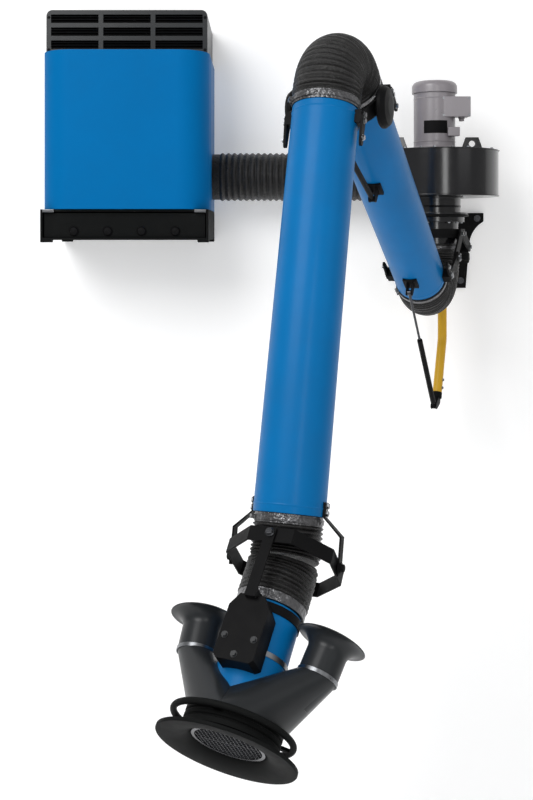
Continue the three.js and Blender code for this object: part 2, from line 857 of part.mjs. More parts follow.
// Outlet box on top of the cabinet, with rows of slots in its front
function topGrille() {
  const [left, right] = [cabinetLeft + grilleInset, -cabinetRight - grilleInset];
  const outline = (inset, low) => {
    const [l, r, top] = [left + inset, right - inset, cabinetTop + grilleHeight - inset];
    const radius = grilleCorner - inset;
    const shape = new THREE.Shape();
    shape.moveTo(l, low);
    shape.lineTo(r, low);
    shape.absarc(r - radius, top - radius, radius, 0, Math.PI / 2, false);
    shape.absarc(l + radius, top - radius, radius, Math.PI / 2, Math.PI, false);
    shape.closePath();
    return shape;
  };
  let solid = plate('y', outline(0, cabinetTop), [-grilleDepth, 0]);
  solid = solid.subtract(plate('y', outline(grilleWall, cabinetTop - cutMargin),
    [grilleWall - grilleDepth, -grilleWall]));
  const slotWidth = (right - left - grilleBar * (grilleColumns + 1)) / grilleColumns;
  const rowGap = (grilleHeight - grilleRows * grilleSlotHeight) / (grilleRows + 1);
  for (let column = 0; column < grilleColumns; column += 1) {
    for (let row = 0; row < grilleRows; row += 1) {
      const x = left + grilleBar + column * (slotWidth + grilleBar);
      const z = cabinetTop + rowGap + row * (grilleSlotHeight + rowGap);
      solid = solid.subtract(block([x, x + slotWidth],
        [-grilleDepth - cutMargin, grilleWall - grilleDepth + cutMargin], [z, z + grilleSlotHeight]));
    }
  }
  return solid;
}

// Housing under the cabinet, open at the front for the drawer, with four feet
const baseBottom = cabinetBottom - baseHeight;

function baseHousing() {
  let solid = block([cabinetLeft, -cabinetRight], [-baseDepth, 0], [baseBottom, cabinetBottom]);
  solid = solid.subtract(block([cabinetLeft + baseWall, -cabinetRight - baseWall],
    [-baseDepth - cutMargin, -baseWall], [baseBottom + baseWall, cabinetBottom - baseWall]));
  for (const x of [cabinetLeft, -cabinetRight - footSize]) {
    for (const y of [-baseDepth, -footSize]) {
      solid = solid.add(block([x, x + footSize], [y, y + footSize], [baseBottom - footHeight, baseBottom]));
    }
  }
  return solid;
}

// Dust drawer, open at the top
function dustDrawer() {
  const [left, right] = [cabinetLeft + baseWall + drawerSide, -cabinetRight - baseWall - drawerSide];
  const front = drawerRecess - baseDepth;
  const low = baseBottom + baseWall + seatGap;
  const box = block([left, right], [front, front + drawerDepth], [low, low + drawerHeight]);
  return box.subtract(block([left + drawerWall, right - drawerWall],
    [front + drawerFront, front + drawerDepth - drawerWall],
    [low + drawerWall, low + drawerHeight + cutMargin]));
}

// Straight ribbed duct from the fan outlet to the cabinet
function ductHose() {
  const start = -outletFace - outletLength - seatGap;
  const length = cabinetRight + start - seatGap;
  const path = bendPath([start, outletCentre[1]], Math.PI, length, 0, 0, 0);
  return ribbedHose(path, { ...armHose, spacing: ductRibPitch }, 'y', outletCentre[0]);
}

const fanFrame = frame(root, 0, -swivelReach, 0);
piece(root, 'wall_plate', wallPlate(), 'black');
piece(root, 'bracket_frame', bracketFrame(), 'black');
piece(fanFrame, 'swivel_bearing', swivelBearing(), 'black');
piece(fanFrame, 'inlet_spigot', inletSpigot(), 'glossBlack');
piece(fanFrame, 'fan_scroll', fanScroll(), 'glossBlack');
piece(fanFrame, 'fan_lid', fanLid(), 'glossBlack');
piece(root, 'outlet_transition', outletTransition(), 'black');
piece(fanFrame, 'motor_body', motorBody(), 'grey');
piece(fanFrame, 'motor_cap', motorCap(), 'grey');
piece(fanFrame, 'terminal_box', terminalBox(), 'grey');
piece(fanFrame, 'impeller', impeller(), 'steel');
piece(fanFrame, 'motor_shaft', motorShaft(), 'steel');
piece(root, 'duct_hose', ductHose(), 'rubber');
piece(root, 'cabinet_body', cabinetBody(), 'blue');
piece(frame(root, cabinetMiddle, -cartridgeBack, 0), 'filter_cartridge', filterCartridge(), 'paper');
piece(root, 'front_cover', frontCover(), 'blue');
piece(root, 'top_grille', topGrille(), 'black');
piece(root, 'base_housing', baseHousing(), 'black');
piece(root, 'dust_drawer', dustDrawer(), 'black');

// Frames of the moving arm, nested as the joints are
const swivel = frame(root, 0, -swivelReach, 0);
swivel.rotation.z = radians(swivelAngle);
const shoulderAt = [-shoulderBendRadius, swivelDuctBottom - hoseLead];
const inner = frame(swivel, 0, ...shoulderAt);
inner.rotation.x = -radians(innerRise);
const innerStart = -hoseLead;
const innerEnd = innerStart - innerTubeLength;
const elbowAt = [innerEnd - hoseLead, -shoulderBendRadius - elbowBendRadius];
const outer = frame(inner, 0, ...elbowAt);
outer.rotation.x = radians(elbowTurn);
const outerStart = -hoseLead;
const outerEnd = outerStart - outerTubeLength;
const gimbalAt = [-elbowBendRadius, outerEnd - hoodDrop];
const gimbal = frame(outer, 0, ...gimbalAt);
gimbal.rotation.x = -radians(hoodTilt);
const hood = frame(gimbal, 0, 0, 0);
hood.rotation.y = radians(hoodSwing);

// Point of one frame given in the coordinates of another, as Y and Z
function seenFrom(target, source, point) {
  root.updateMatrixWorld(true);
  const local = target.worldToLocal(source.localToWorld(new THREE.Vector3(0, ...point)));
  return [local.y, local.z];
}

// Arm tube along Z from the low to the high end, with narrower spigots for the hoses
function armTube(low, high, lowSpigot, highSpigot) {
  const bore = tubeRadius - tubeWall;
  return turned([[lowSpigot, low - spigotLength], [lowSpigot, low], [tubeRadius, low], [tubeRadius, high],
    [highSpigot, high], [highSpigot, high + spigotLength], [highSpigot - tubeWall, high + spigotLength],
    [highSpigot - tubeWall, high - tubeWall], [bore, high - tubeWall - spigotTaper],
    [bore, low + tubeWall + spigotTaper], [lowSpigot - tubeWall, low + tubeWall], [lowSpigot - tubeWall,
      low - spigotLength]]);
}

// Band clamp round the plain end of a hose, from the given height up
function bandClamp(cuff, low) {
  const inside = boreOver(cuff, seatGap, tubeSides);
  return ring(inside, inside + clampThickness, low, low + clampWidth);
}

// Turning end of the base: the duct that hangs in the bearing
function swivelDuct() {
  const bore = tubeRadius - tubeWall;
  const low = swivelDuctBottom;
  const top = shelfBottom - runningGap;
  return turned([[spigotRadius, low - spigotLength], [spigotRadius, low], [tubeRadius, low],
    [tubeRadius, collarBottom], [collarRadius, collarBottom], [collarRadius, collarTop],
    [tubeRadius, collarTop],
    [tubeRadius, top], [bore, top], [bore, low + tubeWall + spigotTaper],
    [spigotRadius - tubeWall, low + tubeWall], [spigotRadius - tubeWall, low - spigotLength]]);
}

// Pieces on a tube in a turned frame stand off by the seat gap
const tubeSeat = tubeRadius + seatGap;

// Span of a plate at one side, from its inside face outwards
function spanOf(side, inside, thickness) {
  const outside = inside + thickness;
  return side > 0 ? [inside, outside] : [-outside, -inside];
}

// Fork under the swivel: a ring on the duct, cheeks to the shoulder pivots and a rear beam for the lever
function shoulderFork() {
  let solid = ring(tubeSeat, forkRingRadius, forkRingBottom, forkRingTop);
  const beamFront = forkRearReach - forkRearThickness;
  const beamBottom = forkRearTop - forkRearThickness;
  for (const side of [-1, 1]) {
    const span = spanOf(side, forkInside, plateGauge);
    const foot = [[-forkFootHalf, forkRingBottom], [forkFootHalf, forkRingBottom],
      [forkFootHalf, forkRingTop], [-forkFootHalf, forkRingTop]];
    const front = link('x', [[...shoulderAt, pivotEyeRadius],
      [-forkFootHalf / 2, forkRingTop - pivotEyeRadius, pivotEyeRadius]], span);
    const rear = link('x', [[forkRearReach - forkRearThickness / 2, forkRearTop - forkRearThickness / 2,
      forkRearThickness / 2], [forkFootHalf / 2, forkRingTop - pivotEyeRadius, pivotEyeRadius]], span);
    solid = solid.add(plate('x', foot, span)).add(front).add(rear);
    const through = [span[0] - cutMargin, span[1] + cutMargin];
    solid = solid.subtract(rod('x', pivotRadius + seatGap, through, shoulderAt));
  }
  const beam = [-forkInside - plateGauge / 2, forkInside + plateGauge / 2];
  return solid.add(block(beam, [beamFront + cutMargin, forkRearReach - cutMargin],
    [beamBottom + cutMargin, forkRearTop - cutMargin]));
}

// Pivot pin with a head, through a fork cheek and the yoke cheek outside it
function pivotPin(side, at, radius) {
  const start = forkInside;
  const seat = yokeInside + plateGauge + runningGap;
  const shank = rod('x', radius, spanOf(side, start, seat - start + cutMargin), at);
  return shank.add(rod('x', pivotHeadRadius, spanOf(side, seat, pivotHeadLength), at));
}

// Half band round a tube, on the side where the rest of the yoke does not show
function halfBand(low, upward) {
  const outside = tubeSeat + bandGauge;
  const whole = ring(tubeSeat, outside, low, low + bandWidth);
  const reach = outside + cutMargin;
  const side = upward ? [0, reach] : [-reach, 0];
  return whole.intersect(block([-reach, reach], side, [low - cutMargin, low + bandWidth + cutMargin]));
}

// Yoke on a tube that runs along Z: a half band, two spacers and two cheeks to the pivot
function yoke(low, pivot, inside, bandSide, tipAt) {
  let solid = halfBand(low, bandSide > 0);
  const core = disc(tubeSeat, low - cutMargin, low + bandWidth + cutMargin);
  const middle = low + bandWidth / 2;
  for (const side of [-1, 1]) {
    const span = spanOf(side, inside, plateGauge);
    const spacerStart = tubeSeat - spacerHalfHeight / 2;
    const spacer = block(spanOf(side, spacerStart, inside + plateGauge / 2 - spacerStart),
      [-spacerHalfHeight, spacerHalfHeight], [low, low + bandWidth]);
    solid = solid.add(spacer.subtract(core));
    const arm = link('x', [[...pivot, pivotEyeRadius], [0, middle, spacerHalfHeight]], span);
    const tip = link('x', [[0, middle, spacerHalfHeight], [0, tipAt, spacerHalfHeight / 2]], span);
    solid = solid.add(arm).add(tip);
    const hole = inside === forkInside ? pivotRadius + seatGap : boreOver(pivotRadius, pivotGap);
    solid = solid.subtract(rod('x', hole, [span[0] - cutMargin, span[1] + cutMargin], pivot));
  }
  return solid;
}

// Hand knob with lobes on the shoulder pivot
function shoulderKnob() {
  const shape = new THREE.Shape();
  const steps = knobLobes * knobLobeSteps;
  for (let i = 0; i < steps; i += 1) {
    const turn = (2 * Math.PI * i) / steps;
    const radius = knobRadius - knobLobeDepth / 2 + (knobLobeDepth / 2) * Math.cos(knobLobes * turn);
    const point = [radius * Math.cos(turn), radius * Math.sin(turn)];
    if (i === 0) shape.moveTo(...point);
    else shape.lineTo(...point);
  }
  shape.closePath();
  const stem = rod('x', knobStemRadius, [0, knobStem + cutMargin], [0, 0]);
  return stem.add(plate('x', shape, [knobStem, knobLength]));
}

// Balance lever: a bent tube hanging from the rear beam
const leverTop = forkRearTop - forkRearThickness + cutMargin - seatGap;
const leverFall = leverEndDrop - leverDrop;
const leverLean = Math.atan2(leverSetback - leverEndSetback, leverFall);
const leverHeading = -Math.PI / 2 - leverLean;
const leverTangent = leverBendRadius * Math.tan(leverLean / 2);
const leverPath = bendPath([leverSetback, leverTop], -Math.PI / 2, leverTop + leverDrop - leverTangent,
  leverBendRadius, -leverLean, Math.hypot(leverSetback - leverEndSetback, leverFall) - leverTangent);

// Clevis on the end of the lever, with the pin for the lower eye of the lift spring
const liftLowerEye = [liftEyeSetback, -liftEyeDrop];

function leverClevis() {
  const end = leverPath.at(leverPath.length).point;
  const along = [Math.cos(leverHeading), Math.sin(leverHeading)];
  const across = [along[1], -along[0]];
  const place = (a, b) => [
    end[0] + along[0] * (a + seatGap) + across[0] * b, end[1] + along[1] * (a + seatGap) + across[1] * b];
  const half = cheekGap + cheekGauge;
  const foot = convexOutline([place(0, leverRadius), place(0, -leverRadius),
    place(clevisRoot, -leverRadius), place(clevisRoot, leverRadius)]);
  const arm = convexOutline([place(0, leverRadius), place(0, -leverRadius), place(clevisRoot, -leverRadius),
    ...roundAbout(liftLowerEye, cheekRadius)]);
  const slot = rod('x', eyeRadius + clevisRoot / 2, [-cheekGap, cheekGap], liftLowerEye, tubeSides);
  const body = plate('x', foot, [-half, half]).add(plate('x', arm, [-half, half])).subtract(slot);
  return body.add(rod('x', eyePinRadius, [-half, half], liftLowerEye));
}

function roundAbout(centre, radius) {
  return Array.from({ length: smallSides }, (_, i) => {
    const turn = (2 * Math.PI * i) / smallSides;
    return [centre[0] + radius * Math.cos(turn), centre[1] + radius * Math.sin(turn)];
  });
}

// Bolt pad under the inner tube with two cheeks for a spring eye, drawn in the inner frame
function springPad(along, withPin) {
  const y = innerStart - along;
  const under = -shoulderBendRadius - tubeRadius;
  const eye = [y, -shoulderBendRadius - padEyeDrop];
  const box = block([-padHalfWidth, padHalfWidth], [y - padLength / 2, y + padLength / 2],
    [under - padThickness, under + padThickness]);
  const tube = rod('y', tubeSeat, [y - padLength, y + padLength], [0, -shoulderBendRadius], tubeSides);
  let solid = box.subtract(tube);
  const inPad = under - padThickness / 2;
  const base = [[y - padCheekHalf, inPad], [y + padCheekHalf, inPad]];
  const outline = convexOutline([...base, ...roundAbout(eye, cheekRadius)]);
  for (const side of [-1, 1]) solid = solid.add(plate('x', outline, spanOf(side, cheekGap, cheekGauge)));
  const pin = [-cheekGap - cutMargin, cheekGap + cutMargin];
  if (withPin) solid = solid.add(rod('x', eyePinRadius, pin, eye));
  return solid;
}

// Gas spring along its own Z axis, from the cylinder's eye at zero
function springEye(at) {
  const tab = rod('x', eyeRadius, [-eyeHalfThickness, eyeHalfThickness], [0, at]);
  const hole = rod('x', boreOver(eyePinRadius, pivotGap), [-eyeRadius, eyeRadius], [0, at]);
  return { tab, hole };
}

function springCylinder(radius, length) {
  const bore = radius - cylinderWall;
  const mouth = springRodRadius + pivotGap;
  const end = cylinderStart + length;
  const floor = cylinderStart + cylinderFloor;
  const body = turned([[0, eyeRadius / 2], [springNeckRadius, eyeRadius / 2],
    [springNeckRadius, cylinderStart], [radius, cylinderStart], [radius, end], [mouth, end],
    [mouth, end - cylinderGland], [bore, end - cylinderGland], [bore, floor], [0, floor]], smallSides);
  const eye = springEye(0);
  return body.add(eye.tab).subtract(eye.hole);
}

function springRod(radius, pistonAt, length) {
  const piston = radius - cylinderWall - pistonGap;
  const body = turned([[0, pistonAt], [piston, pistonAt], [piston, pistonAt + pistonLength],
    [springRodRadius, pistonAt + pistonLength], [springRodRadius, length - cylinderStart],
    [springNeckRadius, length - cylinderStart], [springNeckRadius, length - eyeRadius / 2],
    [0, length - eyeRadius / 2]], smallSides);
  const eye = springEye(length);
  return body.add(eye.tab).subtract(eye.hole);
}

// Frame at the eye of a spring's cylinder, turned so that its Z axis points to the other eye
function springFrame(parent, from, to) {
  const group = frame(parent, 0, ...from);
  group.rotation.x = Math.atan2(to[1] - from[1], to[0] - from[0]) - Math.PI / 2;
  return group;
}

const distance = (a, b) => Math.hypot(a[0] - b[0], a[1] - b[1]);

// Hoses of the base and the elbow, each bent about its pivot
function baseHose() {
  const straight = hoseLead - seatGap;
  const sweep = Math.PI / 2 + radians(innerRise);
  const path = bendPath([0, swivelDuctBottom - seatGap], -Math.PI / 2, straight, shoulderBendRadius,
    -sweep, straight);
  return ribbedHose(path, armHose, 'x', 0);
}

function elbowHose() {
  const straight = hoseLead - seatGap;
  const sweep = Math.PI / 2 + radians(elbowTurn);
  const path = bendPath([innerEnd - seatGap, -shoulderBendRadius], Math.PI, straight, elbowBendRadius,
    sweep, straight);
  return ribbedHose(path, armHose, 'x', 0);
}

const upright = (parent, y, z) => frame(parent, 0, y, z);
const lying = (parent, y, z) => {
  const group = frame(parent, 0, y, z);
  group.rotation.x = Math.PI / 2;
  return group;
};

// Swivelling base
piece(swivel, 'swivel_duct', swivelDuct(), 'black');
piece(swivel, 'shoulder_fork', shoulderFork(), 'black');
piece(swivel, 'lever_tube', pathBar(leverPath, leverRadius, 'x', 0, leverBendSteps), 'yellow');
piece(swivel, 'lever_clevis', leverClevis(), 'black');
piece(swivel, 'shoulder_pin_left', pivotPin(-1, shoulderAt, pivotRadius), 'steel');
piece(swivel, 'shoulder_pin_right', pivotPin(1, shoulderAt, pivotRadius), 'steel');
piece(swivel, 'base_hose', baseHose(), 'rubber');
const knobAt = yokeInside + plateGauge + runningGap + pivotHeadLength + seatGap;
piece(frame(swivel, knobAt, ...shoulderAt), 'shoulder_knob', shoulderKnob(), 'black');

// Inner arm. Its tube lies along Y, so it is drawn upright in a frame laid on its side
const innerAxis = lying(inner, 0, -shoulderBendRadius);
const laid = ([y, z]) => [z + shoulderBendRadius, -y];
const innerLow = -innerStart;
const innerHigh = -innerEnd;
piece(innerAxis, 'inner_tube', armTube(innerLow, innerHigh, spigotRadius, spigotRadius), 'blue');
piece(innerAxis, 'inner_lower_yoke',
  yoke(innerLow + bandInset, laid([0, 0]), yokeInside, 1, innerLow + yokeTip), 'black');
piece(innerAxis, 'inner_upper_yoke',
  yoke(innerHigh - bandInset - bandWidth, laid(elbowAt), yokeInside, 1, innerHigh - yokeTip), 'black');
piece(inner, 'lift_pad', springPad(liftPadAlong, false), 'black');
piece(inner, 'elbow_pad', springPad(elbowPadAlong, true), 'black');
piece(inner, 'elbow_hose', elbowHose(), 'rubber');

// Lift spring between the lever and the inner tube
const liftUpperEye = seenFrom(swivel, inner, [innerStart - liftPadAlong, -shoulderBendRadius - padEyeDrop]);
const liftFrame = springFrame(swivel, liftLowerEye, liftUpperEye);
piece(liftFrame, 'lift_spring_cylinder', springCylinder(liftCylinderRadius, liftCylinderLength), 'black');
piece(liftFrame, 'lift_spring_rod',
  springRod(liftCylinderRadius, liftPistonAt, distance(liftLowerEye, liftUpperEye)), 'steel');

// Elbow spring between the inner tube and the yoke of the outer tube
const elbowLowerEye = [innerStart - elbowPadAlong, -shoulderBendRadius - padEyeDrop];
const elbowUpperEye = seenFrom(inner, outer, [elbowEyeBack, -elbowEyeDrop]);
const elbowFrame = springFrame(inner, elbowLowerEye, elbowUpperEye);
piece(elbowFrame, 'elbow_spring_cylinder',
  springCylinder(elbowCylinderRadius, elbowCylinderLength), 'black');
piece(elbowFrame, 'elbow_spring_rod',
  springRod(elbowCylinderRadius, elbowPistonAt, distance(elbowLowerEye, elbowUpperEye)), 'steel');

// Outer arm
function outerYoke() {
  const low = outerStart - bandInset - bandWidth;
  let solid = yoke(low, [elbowBendRadius, 0], forkInside, 1, outerStart - yokeTip);
  const eye = [elbowBendRadius + elbowEyeBack, -elbowEyeDrop];
  const foot = tubeSeat + bandGauge / 2;
  const base = [[foot, low + cutMargin], [foot, low + bandWidth - cutMargin]];
  const outline = convexOutline([...base, ...roundAbout(eye, cheekRadius)]);
  for (const side of [-1, 1]) solid = solid.add(plate('x', outline, spanOf(side, cheekGap, cheekGauge)));
  return solid;
}

// Bent strap from the side of the outer tube down to the gimbal pivot
const ringOutside = ringReach + ringGauge;
const strapInside = ringOutside + strapGap;

function sideStrap(side) {
  const top = outerEnd + strapRise;
  const knee = outerEnd - strapKneeDrop;
  const [foot, middle] = [outerEnd - hoodDrop - strapTail, outerEnd - hoodDrop];
  const seat = tubeSeat - strapGauge;
  const half = [[seat, top], [tubeSeat + strapGauge, top], [tubeSeat + strapGauge, outerEnd],
    [strapInside + strapGauge, knee], [strapInside + strapGauge, foot], [strapInside, foot],
    [strapInside, knee - strapGauge / 2], [tubeSeat, outerEnd - seatGap], [seat, outerEnd - seatGap]];
  const outline = half.map(([x, z]) => [side * x, z]);
  const bar = plate('y', side > 0 ? outline.toReversed() : outline, [-strapHalfWidth, strapHalfWidth]);
  const solid = bar.subtract(disc(tubeSeat, outerEnd - strapGauge, top + cutMargin));
  return solid.subtract(rod('x', boreOver(gimbalPinRadius, pivotGap),
    spanOf(side, strapInside - cutMargin, strapGauge + 2 * cutMargin), [0, middle]));
}

// Half of the hood hose, from a tube end to near the middle of the bend
function hoodHoseHalf(start, heading, sweep, straight) {
  const radius = hoodBendLead / Math.tan(radians(hoodTilt) / 2);
  const turn = radians(hoodTilt) / 2 - hoseSplitGap / radius;
  const path = bendPath(start, heading, straight - hoodBendLead - seatGap, radius, sweep * turn, 0);
  return ribbedHose(path, { ...hoodHose, cuffAt: [hoodCuffLength, 0] }, 'x', 0);
}

const outerAxis = upright(outer, -elbowBendRadius, 0);
piece(outerAxis, 'outer_tube', armTube(outerEnd, outerStart, hoodSpigotRadius, spigotRadius), 'blue');
piece(outerAxis, 'outer_yoke', outerYoke(), 'black');
piece(outer, 'elbow_pin_left', pivotPin(-1, [0, 0], pivotRadius), 'steel');
piece(outer, 'elbow_pin_right', pivotPin(1, [0, 0], pivotRadius), 'steel');
piece(outerAxis, 'elbow_clamp', bandClamp(cuffRadius, outerStart + clampInset), 'steel');
piece(outerAxis, 'side_strap_left', sideStrap(-1), 'black');
piece(outerAxis, 'side_strap_right', sideStrap(1), 'black');
piece(outerAxis, 'hood_hose_upper',
  hoodHoseHalf([0, outerEnd - seatGap], -Math.PI / 2, -1, hoodDrop), 'rubber');
piece(outerAxis, 'hood_clamp', bandClamp(hoodCuffRadius, outerEnd - clampInset - clampWidth), 'steel');

// Gimbal: a band with flat sides and four pivot pins
function gimbalRing() {
  const corner = (reach) => Array.from({ length: gimbalSides }, (_, i) => {
    const turn = (2 * Math.PI * (i + 0.5)) / gimbalSides;
    const radius = reach / Math.cos(Math.PI / gimbalSides);
    return [radius * Math.cos(turn), radius * Math.sin(turn)];
  });
  const height = [-ringHalfHeight, ringHalfHeight];
  const room = [-ringHalfHeight - cutMargin, ringHalfHeight + cutMargin];
  let solid = plate('z', corner(ringOutside), height).subtract(plate('z', corner(ringReach), room));
  const pin = [ringOutside - cutMargin, ringOutside + gimbalPinLength];
  const back = [-pin[1], -pin[0]];
  for (const span of [pin, back]) {
    solid = solid.add(rod('x', gimbalPinRadius, span, [0, 0]));
    solid = solid.add(rod('y', gimbalPinRadius, span, [0, 0]));
  }
  return solid;
}

// Profiles of the hood, with heights below the gimbal counted downwards
const neckSeat = hoodNeckRadius + seatGap;

function hoodNeck() {
  const bore = hoodNeckRadius - hoodNeckWall;
  const spigotBore = hoodSpigotRadius - hoodNeckWall;
  return turned([[hoodSpigotRadius, -hoodNeckTop + spigotLength], [hoodSpigotRadius, -hoodNeckTop],
    [hoodNeckRadius, -hoodNeckTop], [hoodNeckRadius, -plenumTop + seatGap], [bore, -plenumTop + seatGap],
    [bore, -hoodNeckTop - spigotTaper], [spigotBore, -hoodNeckTop],
    [spigotBore, -hoodNeckTop + spigotLength]]);
}

// Plenum: a short drum under the neck, with grooves round it
function plenum() {
  const points = [[plenumBore, -plenumTop], [plenumRadius, -plenumTop]];
  const pitch = (plenumBottom - plenumTop) / (grooveCount + 1);
  for (let i = 1; i <= grooveCount; i += 1) {
    const middle = plenumTop + i * pitch;
    points.push([plenumRadius, grooveWidth / 2 - middle], [plenumRadius - grooveDepth, -middle],
      [plenumRadius, -middle - grooveWidth / 2]);
  }
  return turned([...points, [plenumRadius, -plenumBottom], [plenumBore, -plenumBottom]]);
}

// Dish: a shallow flared shell from the plenum to the rim
function dishProfile() {
  const top = plenumBottom + seatGap;
  const depth = dishPlane - dishLip - top;
  const flare = dishRadius - dishThroat - dishWall;
  const outside = [];
  const inside = [];
  const steps = dishSteps;
  for (let i = 0; i <= steps; i += 1) {
    const turn = (Math.PI / 2) * (i / steps);
    const radius = dishThroat + flare * (1 - Math.cos(turn));
    const height = -top - depth * Math.sin(turn);
    outside.push([radius + dishWall, height]);
    inside.push([radius, height - (i === 0 ? 0 : dishLip * Math.sin(turn))]);
  }
  const rim = [dishRadius, -dishPlane];
  return [...outside, rim, ...inside.toReversed()];
}

const dish = () => turned(dishProfile(), dishSides);

// Guard in the throat of the dish: a ring with crossing bars
function inletGrille() {
  const top = -plenumBottom - seatGap;
  const low = top - grilleGuardHeight;
  let solid = ring(grilleGuardRadius - grilleGuardRing, grilleGuardRadius, low, top);
  for (let i = 0; i < grilleGuardBars; i += 1) {
    const reach = grilleGuardRadius - grilleGuardRing / 2;
    const geometry = new THREE.BoxGeometry(2 * reach, grilleGuardBar, grilleGuardHeight);
    geometry.translate(0, 0, (low + top) / 2);
    geometry.rotateZ((Math.PI * i) / grilleGuardBars);
    solid = solid.add(solidOf(geometry));
  }
  return solid;
}

// Ring handle with stays to the plenum
function ringHandle() {
  const height = handleLift - dishPlane;
  const geometry = new THREE.TorusGeometry(handleRadius, handleTubeRadius, handleTubeSides, handleSides);
  geometry.translate(0, 0, height);
  let solid = solidOf(geometry);
  const reach = handleRadius - plenumBore;
  for (let i = 0; i < handleStays; i += 1) {
    const stay = new THREE.BoxGeometry(reach, 2 * handleStayHalfWidth, 2 * handleStayHalfHeight);
    stay.translate((handleRadius + plenumBore) / 2, 0, height);
    stay.rotateZ((2 * Math.PI * i) / handleStays + radians(handleStayTurn));
    solid = solid.add(solidOf(stay));
  }
  return solid.subtract(disc(plenumRadius + seatGap, -dishPlane, -plenumTop));
}

// Hanger: bars from the gimbal pins to a band on the neck, with the saddle box in front
function hoodHanger() {
  const bandBottom = -hangerBandTop - hangerBandHeight;
  const inside = ringOutside + strapGap;
  const bars = [[-inside - hangerGauge, -inside], [inside, inside + hangerGauge]];
  const width = [-hangerHalfWidth, hangerHalfWidth];
  let solid = ring(neckSeat, neckSeat + hangerBandGauge, bandBottom, -hangerBandTop);
  for (const y of bars) {
    const through = [y[0] - cutMargin, y[1] + cutMargin];
    const hole = rod('y', boreOver(gimbalPinRadius, pivotGap), through, [0, 0]);
    solid = solid.add(block(width, y, [bandBottom, hangerHead]).subtract(hole));
  }
  const arm = neckSeat + hangerBandGauge / 2;
  solid = solid.add(block(width, [arm, inside + cutMargin], [bandBottom, -hangerBandTop]));
  solid = solid.add(block(width, [-inside - cutMargin, -arm], [bandBottom, -hangerBandTop]));
  const outline = [[-saddleTopHalfWidth, -saddleTop], [-saddleHalfWidth, -saddleTop - saddleShoulder],
    [-saddleHalfWidth, -saddleBottom + saddleCorner], [-saddleHalfWidth + saddleCorner, -saddleBottom],
    [saddleHalfWidth - saddleCorner, -saddleBottom], [saddleHalfWidth, -saddleBottom + saddleCorner],
    [saddleHalfWidth, -saddleTop - saddleShoulder], [saddleTopHalfWidth, -saddleTop]];
  const box = plate('y', outline, [-saddleFront, -saddleHalfWidth]);
  const core = disc(neckSeat, -saddleBottom - cutMargin, -saddleTop + cutMargin);
  return solid.add(box.subtract(core));
}

// Air supply horn about its own Z axis, with the mouth at zero and a spider for the fan
function supplyHorn() {
  const reach = hornRimRadius - hornThroatRadius;
  const inside = [[hornThroatRadius, -hornLength]];
  const outside = [[hornThroatRadius + hornWall, -hornLength]];
  for (let i = 0; i <= hornSteps; i += 1) {
    const turn = (Math.PI / 2) * (i / hornSteps);
    const slope = Math.hypot(Math.cos(turn) / reach, Math.sin(turn) / hornFlare);
    const point = [hornRimRadius - reach * Math.cos(turn), -hornFlare + hornFlare * Math.sin(turn)];
    inside.push(point);
    outside.push([point[0] + (hornWall * Math.cos(turn)) / reach / slope,
      point[1] - (hornWall * Math.sin(turn)) / hornFlare / slope]);
  }
  let solid = turned([...outside, ...inside.toReversed()], hornSides);
  const height = [-hornLength, spiderHeight - hornLength];
  for (let i = 0; i < spiderArms; i += 1) {
    const armReach = hornThroatRadius + hornWall / 2;
    const arm = new THREE.BoxGeometry(armReach, 2 * spiderArmHalfWidth, spiderHeight);
    arm.translate(armReach / 2, 0, spiderHeight / 2 - hornLength);
    arm.rotateZ((2 * Math.PI * i) / spiderArms);
    solid = solid.add(solidOf(arm));
  }
  solid = solid.add(disc(spiderHubRadius, ...height, smallSides));
  const hole = boreOver(supplyShaftRadius, pivotGap);
  return solid.subtract(disc(hole, -hornLength - cutMargin, height[1] + cutMargin, smallSides));
}

// Small fan that pushes air down a horn, its shaft in the spider
function supplyFan() {
  const low = spiderHeight - hornLength + runningGap;
  let solid = turned([[0, cutMargin - hornLength], [supplyShaftRadius, cutMargin - hornLength],
    [supplyShaftRadius, low], [supplyHubRadius, low], [supplyHubRadius, low + supplyHubHeight],
    [0, low + supplyHubHeight]], smallSides);
  for (let i = 0; i < supplyBladeCount; i += 1) {
    const start = supplyHubRadius - supplyBladeGauge;
    const blade = new THREE.BoxGeometry(supplyBladeRadius - start, supplyBladeWidth, supplyBladeGauge);
    blade.rotateX(radians(supplyBladePitch));
    blade.translate((supplyBladeRadius + start) / 2, 0, low + supplyHubHeight / 2);
    blade.rotateZ((2 * Math.PI * i) / supplyBladeCount);
    solid = solid.add(solidOf(blade));
  }
  return solid;
}

// Hull of a side duct: round under the horn, widening to half of the plenum. The inset draws its inside,
// which runs past both ends
function sideDuctHull(side, inset) {
  const past = inset > 0 ? cutMargin : 0;
  const splay = side * radians(hornSplay);
  const height = past - hornLength - seatGap;
  const radius = hornThroatRadius + hornWall - inset;
  const points = [];
  for (let i = 0; i < hornSides; i += 1) {
    const turn = (2 * Math.PI * i) / hornSides;
    const across = radius * Math.cos(turn);
    points.push([side * hornSpread + across * Math.cos(splay) + height * Math.sin(splay),
      hornSetback + radius * Math.sin(turn), height * Math.cos(splay) - across * Math.sin(splay) - hornDrop]);
  }
  const foot = seatGap - plenumTop - past;
  for (const [reach, drop] of [[forkRadius, -forkDrop - inset], [plenumRadius, foot]]) {
    for (let i = 0; i <= forkSteps; i += 1) {
      const turn = Math.PI * (i / forkSteps - 0.5);
      const out = seatGap + inset + (reach - seatGap - 2 * inset) * Math.cos(turn);
      points.push([side * out, (reach - inset) * Math.sin(turn), drop]);
    }
  }
  return wasm.Manifold.hull(points);
}

